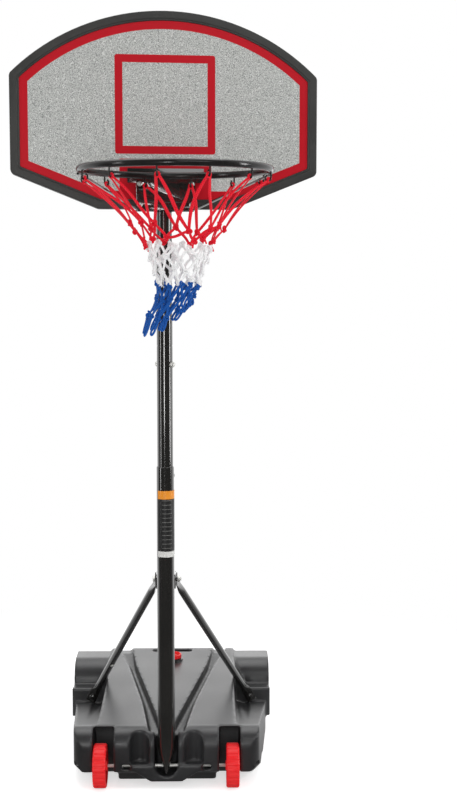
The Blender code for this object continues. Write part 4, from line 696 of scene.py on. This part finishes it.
def tubeAlong(form, points, radius, sides=8, flat=1.0, facing=None, closed=False):
    # A round or flattened tube through the points; a cord's U runs along it in widths and its V round it
    uvLayer = form.loops.layers.uv.get("cordUV")
    widthAt = radius if callable(radius) else lambda share: radius
    befores = points[-1:] if closed else points[:1]
    afters = points[:1] if closed else points[-1:]
    side = None
    rows = []
    travelled = 0.0
    for index, point in enumerate(points):
        before = (befores + points)[index]
        along = ((points + afters)[index + 1] - before).normalized()
        if facing:
            side = along.cross(facing(point)).normalized()
        elif side is None:
            side = along.cross(Vector((0, 0, 1)) if abs(along.z) < 0.9 else Vector((1, 0, 0))).normalized()
        else:
            side = (side - along * side.dot(along)).normalized()
        up = along.cross(side)
        if index:
            travelled += (point - before).length
        width = widthAt(index / (len(points) - 1))
        row = [form.verts.new(point + side * cos(turn) * width + up * sin(turn) * width * flat)
               for turn in (tau * k / sides for k in range(sides))]
        rows.append((row, travelled))
    if closed:
        rows.append((rows[0][0], travelled + (points[0] - points[-1]).length))
    scale = 1 / (2 * widthAt(0.5))
    for (first, start), (second, end) in zip(rows, rows[1:]):
        for k in range(sides):
            face = form.faces.new((first[k], second[k], second[(k + 1) % sides], first[(k + 1) % sides]))
            face.smooth = True
            if uvLayer:
                marks = ((start, k), (end, k), (end, k + 1), (start, k + 1))
                for loop, (distance, turn) in zip(face.loops, marks):
                    loop[uvLayer].uv = (distance * scale, turn / sides)
    if not closed:
        form.faces.new(rows[0][0])
        form.faces.new(rows[-1][0][::-1])


def formPiece(name, form):
    bmesh.ops.recalc_face_normals(form, faces=form.faces)
    mesh = bpy.data.meshes.new(name)
    form.to_mesh(mesh)
    form.free()
    return newPiece(name, mesh)


def hookAngles():
    return [(k + 0.5) * tau / rim.hooks for k in range(rim.hooks)]


def makeRim():
    bpy.ops.mesh.primitive_torus_add(major_segments=rim.count, minor_segments=rim.sides,
                                     major_radius=rim.radius, minor_radius=rim.tube,
                                     location=(0, -rim.reach, rim.z))
    hoop = bpy.context.object
    hoop.name = "rimTube"
    # Each hook is a wire welded under the hoop, with its end curled inwards
    form = bmesh.new()
    reach = rim.radius + rim.hookOut
    under = rim.z - rim.tube
    curl = arcPoints((reach - rim.curl, under - rim.drop), rim.curl, 0, rim.curlTurn, 16)
    for angle in hookAngles():
        wire = [(reach, under + height) for height in rim.shank] + curl
        tubeAlong(form, [onRim(r, angle, z) for r, z in wire], rim.wire, sides=10)
    hooks = formPiece("rimHooks", form)
    finishPiece(hooks, "mast", "black_steel", "rimEnamel", smooth=50)
    finishPiece(hoop, "mast", "black_steel", "rimEnamel", "rim_ring", smooth=60)
    print("rim made")


# Net

# Each row of knots is a pair of shares: of the net's drop, and of the rim's radius
net = Values(drop=0.353, hookR=0.198, hookZ=1.4515, seed=11, red=[(0.348, 0.500), (0.433, 0.371)],
    white=[(0.456, 0.351), (0.530, 0.297), (0.603, 0.257), (0.671, 0.233)],
    blue=[(0.694, 0.228), (0.785, 0.213), (0.881, 0.198)], loops=(0.975, 0.168), lean=0.040, leanDrop=0.232,
    sway=0.007, swayDrop=0.45, slant=0.50, hookTurn=(0.0040, 0.0045), startAside=0.0030)
# Strands: half width, flatness, bow and steps. Knots: size and cord's half width; the red ones have two sizes
weaves = {
    "start": (0.0039, 0.45, 0.008, 18), "red": (0.0031, 0.55, 0.002, 8), "redKnots": (0.0058, 0.0056, 0.0026),
    "white": (0.0030, 0.6, 0.002, 8), "whiteKnots": (0.0056, 0.0026),
    "blue": (0.0028, 0.6, 0.002, 9), "blueKnots": (0.0052, 0.0024)}


def netLean(z):
    drop = rim.z - z
    share = max(0.0, (drop - net.leanDrop) / (net.drop - net.leanDrop))
    sway = net.sway * min(1.0, drop / (net.swayDrop * net.drop))
    return sway * (1 - share) - net.lean * share ** 1.6


def netPoint(drop, share, angle, slanted=False):
    # The blue end is caught up on its right side
    if slanted:
        start = net.blue[0][0]
        drop = start + (drop - start) * (1 - net.slant * max(0.0, (sin(angle) + 0.15) / 1.15))
    z = rim.z - drop * net.drop
    point = onRim(share * rim.radius, angle, z)
    point.x += netLean(z)
    return point


def netKnots(rows, parity, rng, jitter, slanted=False):
    # Knots of each row lie half a step from those of the row above
    table = []
    for index, (drop, share) in enumerate(rows):
        row = []
        for k in range(rim.hooks):
            angle = (k + 0.5 + 0.5 * ((index + parity) % 2)) * tau / rim.hooks
            angle += rng.uniform(-jitter, jitter) * 16
            share += rng.uniform(-jitter, jitter)
            row.append(netPoint(drop + rng.uniform(-jitter, jitter) * 3, share, angle, slanted))
        table.append(row)
    return table


def netOut(point):
    # From the net's middle outwards, level
    return Vector((point.x - netLean(point.z), point.y + rim.reach, 0)).normalized()


def strand(form, start, end, width, flat, bow, steps, rng):
    # A cord from knot to knot that bows inwards a little, wanders and narrows into the knots
    along = end - start
    outwards = netOut((start + end) / 2)
    side = along.cross(outwards).normalized()
    drift = rng.uniform(-0.06, 0.06) * along.length
    wave = rng.uniform(-0.02, 0.02) * along.length
    points = []
    for k in range(steps + 1):
        t = k / steps
        swell = sin(pi * t)
        aside = drift * swell + wave * sin(tau * t)
        points.append(start.lerp(end, t) - outwards * bow * swell + side * aside)
    tubeAlong(form, points, lambda t: width * (0.72 + 0.28 * sin(pi * t) ** 0.6), flat=flat, facing=netOut)


def knotShape(form, centre, size, cord, rng):
    # An overhand knot: one closed trefoil of cord, squeezed flat against the net
    turn = rng.uniform(0, 6)
    outwards = netOut(centre)
    across = Vector((-outwards.y, outwards.x, 0))
    points = []
    for k in range(26):
        t = tau * k / 26
        u = (sin(t) + 2 * sin(2 * t)) / 3
        v = (cos(t) - 2 * cos(2 * t)) / 3
        w = -sin(3 * t) / 3
        a = u * cos(turn) - v * sin(turn)
        b = u * sin(turn) + v * cos(turn)
        points.append(centre + (across * a + Vector((0, 0, 1)) * b * 1.15 + outwards * w) * size)
    tubeAlong(form, points, cord, sides=6, closed=True)


def cordTail(form, start, length, width, rng):
    # A short cut end that hangs from a knot
    outwards = netOut(start)
    side = Vector((-outwards.y, outwards.x, 0)) * rng.uniform(-0.5, 0.5)
    points = [start + (side * t + outwards * 0.25 * t + Vector((0, 0, -0.9)) * t) * length
              + side * sin(4 * t) * 0.002 for t in (0, 0.2, 0.4, 0.6, 0.8, 1.0)]
    tubeAlong(form, points, width, sides=6, flat=0.8, facing=netOut)


def hookLoop(form, angle, cord):
    # The cord goes over the hook in a small round turn
    centre = onRim(net.hookR, angle, net.hookZ + 0.002)
    tangent = Vector((cos(angle), -sin(angle), 0))
    wide, high = net.hookTurn
    turns = [tau * k / 20 for k in range(20)]
    points = [centre + tangent * cos(t) * wide + Vector((0, 0, sin(t) * high)) for t in turns]
    tubeAlong(form, points, cord, closed=True)


def endLoop(form, start, end, half, width, rng):
    # The net's free end: a narrow loop of cord hangs from each knot of the last row
    down = end - start
    outwards = netOut(end)
    side = down.cross(outwards).normalized()
    points = []
    for k in range(21):
        t = k / 20
        across = -cos(pi * t)
        depth = sin(pi * t) ** 0.45
        points.append(start + down * depth + side * half * across * (0.35 + 0.65 * depth)
                      + outwards * rng.uniform(-0.0003, 0.0003))
    tubeAlong(form, points, width, flat=0.8, facing=netOut)


def netForm():
    form = bmesh.new()
    form.loops.layers.uv.new("cordUV")
    return form


def lattice(form, colour, rows, parity, rng):
    # Crossing strands from row to row, and a knot at every crossing
    for index, (row, lower) in enumerate(zip(rows, rows[1:])):
        shift = (index + parity) % 2
        for k, point in enumerate(row):
            for other in (k + shift - 1, k + shift):
                strand(form, point, lower[other % len(lower)], *weaves[colour], rng)
    for row in rows:
        for point in row:
            knotShape(form, point, *weaves[colour + "Knots"], rng)


def finishNet(form, colour):
    piece = formPiece("net" + colour.capitalize(), form)
    finishPiece(piece, "mast", colour + "_cord", colour + "Cord", "net_" + colour, smooth=60)


def makeNet():
    rng = random.Random(net.seed)
    red = netKnots(net.red, 1, rng, 0.009)
    white = netKnots(net.white, 0, rng, 0.006)
    blue = netKnots(net.blue, 1, rng, 0.007, True)
    form = netForm()
    for k, angle in enumerate(hookAngles()):
        hookLoop(form, angle, 0.0024)
        for target, aside in ((red[0][k - 1], -net.startAside), (red[0][k], net.startAside)):
            start = onRim(net.hookR, angle + aside / net.hookR, net.hookZ + 0.0005)
            strand(form, start, target, *weaves["start"], rng)
    upper, lower, cord = weaves["redKnots"]
    for k in range(rim.hooks):
        knotShape(form, red[0][k], upper, cord, rng)
        strand(form, red[0][k], red[1][k], *weaves["red"], rng)
        strand(form, red[0][k], red[1][(k + 1) % rim.hooks], *weaves["red"], rng)
        knotShape(form, red[1][k], lower, cord, rng)
        if rng.random() < 0.6:
            cordTail(form, red[rng.randrange(2)][k], 0.016, 0.0021, rng)
    finishNet(form, "red")
    form = netForm()
    lattice(form, "white", white, 0, rng)
    for point in white[0]:
        cordTail(form, point, 0.011, 0.0022, rng)
    finishNet(form, "white")
    form = netForm()
    lattice(form, "blue", blue, 1, rng)
    for k, point in enumerate(blue[-1]):
        angle = (k + 0.5 + 0.5 * (len(blue) % 2)) * tau / rim.hooks
        end = netPoint(net.loops[0] + rng.uniform(-0.02, 0.02), net.loops[1], angle, True)
        endLoop(form, point, end, 0.0046, 0.0025, rng)
    finishNet(form, "blue")
    print("net made")


# Ballast tank

tank = Values(front=-0.015, rear=0.600, flatFront=0.100, flatRear=0.585, cheekBottom=0.042, cheekTop=0.145,
    cheekRound=0.045, trough=0.0815, drumFront=0.400, drumRear=0.606, drumHalf=0.2715, drumInner=0.152,
    drumBottom=0.042, wallTop=0.1205, ledge=0.055, drumTop=0.176, drumRound=0.060, rearRound=0.040,
    chamfer=0.018, frontHalf=0.2265, rearHalf=0.2595, corner=0.025, deckTop=0.186, crest=0.555,
    topHalf=0.168, footHalf=0.178, hipTop=0.170, hipFoot=0.203, noseTop=0.058, noseBack=0.050, wellX=0.155,
    wellRadius=0.0925, wellHalf=0.026, alcoveX=0.066, alcoveRadius=0.0248, channelX=0.200,
    channelFront=0.100, channelRadius=0.022, slotRadius=0.0285, gripFront=0.538, gripHalf=0.055,
    filler=(0.475, 0.1830), fillerRadius=0.031, neckRadius=0.022, axleBore=0.0043, capSeat=(0.194, 0.013),
    groove=((0.008, 0.0105, 0.0460, 0.0255), (0.066, 0.0222, 0.0525, 0.0255),
        (0.186, 0.0466, 0.0690, 0.0255), (0.440, 0.0982, 0.1180, 0.0240),
        (0.555, 0.1135, 0.1510, 0.0130), (0.640, 0.1240, 0.1600, 0.0130)),
    cornerAt=(-0.080, 0.100, 0.170, 0.240), voxel=0.0033, sink=0.0002, outside=0.4)


def slopeZ(y, height, end):
    # On the line from the cheek's top to a height at the end
    start = tank.front + tank.cheekRound
    return tank.cheekTop + (height - tank.cheekTop) * (y - start) / (end - start)


def addDrum(body, side):
    # The shallow channel in the deck, and the drum that closes its end
    t = tank
    x, y, radius = side * t.channelX, t.channelFront, t.channelRadius
    front = Vector((x, y, slopeZ(y, t.trough, t.drumFront) + radius))
    rear = Vector((x, t.drumFront, t.trough + 0.016))
    cutWith(body, rodForm("channel", front, rear + (rear - front).normalized() * 0.02, radius, 40))
    edge = t.drumFront + t.ledge
    shoulder = arcPoints((edge + t.drumRound, t.drumTop - t.drumRound), t.drumRound, 90, 180, 24)
    drumBack = arcPoints((t.drumRear - t.rearRound, t.drumTop - t.rearRound), t.rearRound, 0, 90, 12)
    low, high = sorted((side * t.drumInner, side * t.drumHalf))
    cutWith(body, prismForm("drum", [(t.drumFront, t.drumBottom), (t.drumRear, t.drumBottom), *drumBack,
                                     *shoulder, (t.drumFront, t.wallTop)], "X", low, high), "UNION")


def cutTankSide(body, side):
    # Wheel well, alcove, axle slot, groove and the slanted low corner of one side
    t = tank
    radius = t.wellRadius
    well = arcPoints((0, axleZ), radius, 0, 180, 24) + [(-radius, -0.1), (radius, -0.1)]
    middle = side * t.wellX
    cutWith(body, prismForm("well", well, "X", middle - t.wellHalf, middle + t.wellHalf))
    x, y = side * t.alcoveX, t.front - 0.002
    cutWith(body, rodForm("alcove", (x, y, 0.0615), (x, y, 0.3), t.alcoveRadius, 32))
    low, high = sorted((side * 0.0875, side * 0.110))
    cutWith(body, boxForm("axleSlot", (low, -0.1, axleZ - 0.0065), (high, 0.007, axleZ + 0.0065)))
    rings = []
    for y, inner, lip, depth in t.groove:
        deck = min(slopeZ(y, t.deckTop, t.crest), t.deckTop)
        section = ((inner, deck - depth), (lip - 0.007, deck - depth), (lip, deck), (lip, deck + 0.1),
                   (inner, deck + 0.1))
        rings.append([(side * x, y, z) for x, z in section])
    cutWith(body, ringForm("groove", rings))
    rings = []
    for y in t.cornerAt:
        x = t.frontHalf + (t.rearHalf - t.frontHalf) * (y - t.front) / (t.drumFront - t.front)
        x -= 0.002 if y == t.cornerAt[-1] else 0.023
        rise = t.cheekBottom * (t.flatFront - y) / (t.flatFront - t.front)
        z = max(0, rise) - 0.002
        section = ((x, -0.1), (x + 0.07, -0.1), (x + 0.07, z + 0.07), (x, z))
        rings.append([(side * a, y, b) for a, b in section])
    cutWith(body, ringForm("lowCorner", rings))


def deckForm(name, topHalf, footHalf, footZ, front, sink):
    # The raised middle, whose sides lean inwards; the hips over the drums are a wider copy of its rear
    t = tank
    slopeBack = arcPoints((t.rear - t.rearRound, t.deckTop - t.rearRound), t.rearRound - sink, 0, 80, 8)
    start = t.front + t.cheekRound
    under = t.noseTop - t.sink
    deck = prismForm(name, [(start, under), (t.rear - sink, under), *slopeBack, (t.crest, t.deckTop - sink),
                            (start, t.cheekTop - t.sink - sink)], "X", -t.outside, t.outside)
    lean = (footHalf - topHalf) / (t.deckTop - footZ)
    over = 0.045
    low = footHalf + lean * (footZ - t.noseTop)
    high = topHalf - lean * over
    cutWith(deck, prismForm("sides", [(-low, t.noseTop), (low, t.noseTop), (high, t.deckTop + over),
                                      (-high, t.deckTop + over)], "Y", front, 1.0), "INTERSECT")
    return deck


def makeTank():
    t = tank
    outside = t.outside
    cheek = arcPoints((t.front + t.cheekRound, t.cheekTop - t.cheekRound), t.cheekRound, 90, 180, 12)
    body = prismForm("tankShell", [
        (t.flatFront, 0), (t.flatRear, 0), (t.rear, t.chamfer), (t.rear, t.trough),
        (t.drumFront, t.trough), *cheek, (t.front, t.cheekBottom)], "X", -outside, outside)
    plan = [(-t.frontHalf, t.front), (t.frontHalf, t.front), (t.rearHalf, t.drumFront),
            (t.rearHalf, t.rear), (-t.rearHalf, t.rear), (-t.rearHalf, t.drumFront)]
    cutWith(body, prismForm("plan", filletOutline(plan, t.corner, 6), "Z", -0.3, 0.3), "INTERSECT")
    cutWith(body, deckForm("deck", t.topHalf, t.footHalf, t.trough, -outside, 0), "UNION")
    nose = [(-0.038, 0.018), (0.038, 0.018), (0.0865, 0.048), (0.0865, t.noseTop), (-0.0865, t.noseTop),
            (-0.0865, 0.048)]
    cutWith(body, prismForm("nose", nose, "Y", t.front - 0.004, t.noseBack), "UNION")
    cutWith(body, boxForm("keel", (-0.122, 0.044, 0.0004), (0.122, 0.144, 0.030)), "UNION")
    for side in (-1, 1):
        addDrum(body, side)
    hips = deckForm("hips", t.hipTop, t.hipFoot, t.wallTop, t.drumFront + 0.0007, t.sink)
    cutWith(body, hips, "UNION")
    for side in (-1, 1):
        cutTankSide(body, side)
    radius = t.slotRadius
    slot = arcPoints((0, 0.0605), radius, 180, 360, 16) + [(radius, 0.3), (-radius, 0.3)]
    cutWith(body, prismForm("poleSlot", slot, "Y", -0.2, 0.034))
    half = t.gripHalf
    cutWith(body, boxForm("grip", (-half, t.gripFront, t.deckTop - 0.022), (half, t.gripFront + 0.016, 0.3)))
    # The mould's edges are rounded here, and the crisp openings are cut afterwards
    change(body, "REMESH", mode="VOXEL", voxel_size=t.voxel, adaptivity=0.0)
    change(body, "SMOOTH", factor=0.5, iterations=3)
    y, z = t.filler
    cutWith(body, rodForm("boss", (0, y, t.cheekTop), (0, y, z), t.fillerRadius, 64), "UNION")
    cutWith(body, rodForm("neck", (0, y, 0.150), (0, y, 0.25), t.neckRadius, 48))
    cutWith(body, rodForm("bore", (-0.3, 0, axleZ), (0.3, 0, axleZ), t.axleBore, 24))
    x, radius = t.capSeat
    for side in (-1, 1):
        cutWith(body, rodForm("capSeat", (side * x, 0, axleZ), (side * 0.28, 0, axleZ), radius, 32))
    finishPiece(body, "base", "tank_plastic", "tankSkin", "tank", smooth=45)
    print("tank made:", len(body.data.polygons), "faces")


# Wheels

wheel = Values(radius=0.0535, width=0.032, x=0.1625, ribs=22, depth=0.0022, chamfer=0.003, hub=0.012,
    hubWidth=0.036, bore=0.00425, dish=0.008, rim=0.010, soft=0.0005, ease=0.001, root=0.0015, spokes=6,
    spokeHalf=0.0016, spokeRise=0.004)


def wheelRing(x, radius, cut=0.0):
    # Points round the wheel; those between the tread's ribs lie deeper by the cut
    points = []
    step = tau / wheel.ribs
    for k in range(wheel.ribs):
        for share, deep in ((-0.24, 0), (0.24, 0), (0.34, 1), (0.66, 1)):
            angle = (k + share) * step - pi / 2
            reach = radius - deep * cut
            points.append((x, reach * cos(angle), reach * sin(angle)))
    return points


def makeWheel(name, side, member):
    radius, cut, chamfer = wheel.radius, wheel.depth, wheel.chamfer
    hub, ease, root = wheel.hub, wheel.ease, wheel.root
    half = wheel.width / 2
    hubHalf = wheel.hubWidth / 2
    edge = radius - wheel.rim
    web = half - wheel.dish
    thin = wheel.spokeHalf
    # One side from the tread to the bore, and its mirror image back to the tread
    right = [(half - chamfer, radius, cut), (half, radius - chamfer, cut), (half, edge + ease),
             (half - ease, edge), (web, edge - root), (web, hub + root), (web + ease, hub),
             (hubHalf - ease, hub), (hubHalf, hub - ease), (hubHalf, wheel.bore)]
    left = [(-x, *rest) for x, *rest in reversed(right)]
    disc = ringForm(name, [wheelRing(*ring) for ring in left[-1:] + right + left[:-1]], wrap=True)
    softEdges(disc, wheel.soft, 30)
    spokes = []
    for direction in (-1, 1):
        low, high = sorted((direction * (web - ease), direction * (web + wheel.spokeRise)))
        for k in range(wheel.spokes):
            spoke = boxForm("spoke", (low, -thin, hub - ease), (high, thin, edge + 0.0002))
            softEdges(spoke, wheel.soft)
            settle(spoke, Matrix.Rotation(tau * k / wheel.spokes, 4, "X"))
            spokes.append(spoke)
    pick(disc, *spokes)
    bpy.ops.object.join()
    place = baseFrame @ Matrix.Translation((side * wheel.x, 0, axleZ))
    finishPiece(disc, member, "red_plastic", "redPlastic", member, place=place)


# Everything else keeps the CAD shape, with its edges eased where a width is given

rimFixings = " ".join(f"rim_{kind}_{level}_{side}" for kind in ("bolt", "nut") for level in ("low", "high")
                      for side in ("left", "right"))
# Slot, material, width of the eased edges, and the nodes
easedPieces = [
    ("black_steel", "blackSteel", 0.0005,
     "strut_bracket rim_plate pole_strap strut_foot_bolt_left strut_foot_bolt_right"),
    ("zinc", "zincPlate", 0.0003, "axle strut_bolt strut_nut strut_screw_left strut_screw_right joint_bolt "
     "joint_nut strap_screw " + rimFixings),
    ("black_plastic", "blackPlastic", 0.0005, "axle_cap_left axle_cap_right lock_boss pole_cap lock_knob"),
    ("red_plastic", "redPlastic", 0.0004, "filler_cap"),
    ("seal_rubber", "sealRubber", 0.0002, "filler_seal"),
    ("sticker", "scaleFilm", 0.0, "height_label"),
    ("black_steel", "blackSteel", 0.0, "strut_left strut_right brace_left brace_right"),
]


def copyNode(source, name):
    # A merged copy of a CAD node with its flat faces whole again
    piece = newPiece(name, nodes[source].data.copy())
    piece.data.name = name
    piece.data.materials.clear()
    pick(piece)
    bpy.ops.object.mode_set(mode="EDIT")
    bpy.ops.mesh.select_all(action="SELECT")
    bpy.ops.mesh.remove_doubles(threshold=0.00002)
    bpy.ops.mesh.dissolve_limited(angle_limit=radians(0.6))
    bpy.ops.object.mode_set(mode="OBJECT")
    return piece


def makeEased():
    bodies = frame["record"]["behaviour"]["bodies"]
    for slot, material, width, members in easedPieces:
        for member in members.split():
            body = next(name for name, parts in bodies.items() if member in parts)
            first, *words = member.split("_")
            piece = copyNode(member, first + "".join(word.capitalize() for word in words) + "Eased")
            if width:
                softEdges(piece, width, 30)
            finishPiece(piece, body, slot, material, member, smooth=38, place=Matrix())
    print("small pieces made")


makePoles()
makeBoard()
makeRim()
makeNet()
makeTank()
makeWheel("wheelLeft", -1, "wheel_left")
makeWheel("wheelRight", 1, "wheel_right")
print("wheels made")
makeEased()

bpy.context.scene.view_settings.view_transform = "Standard"
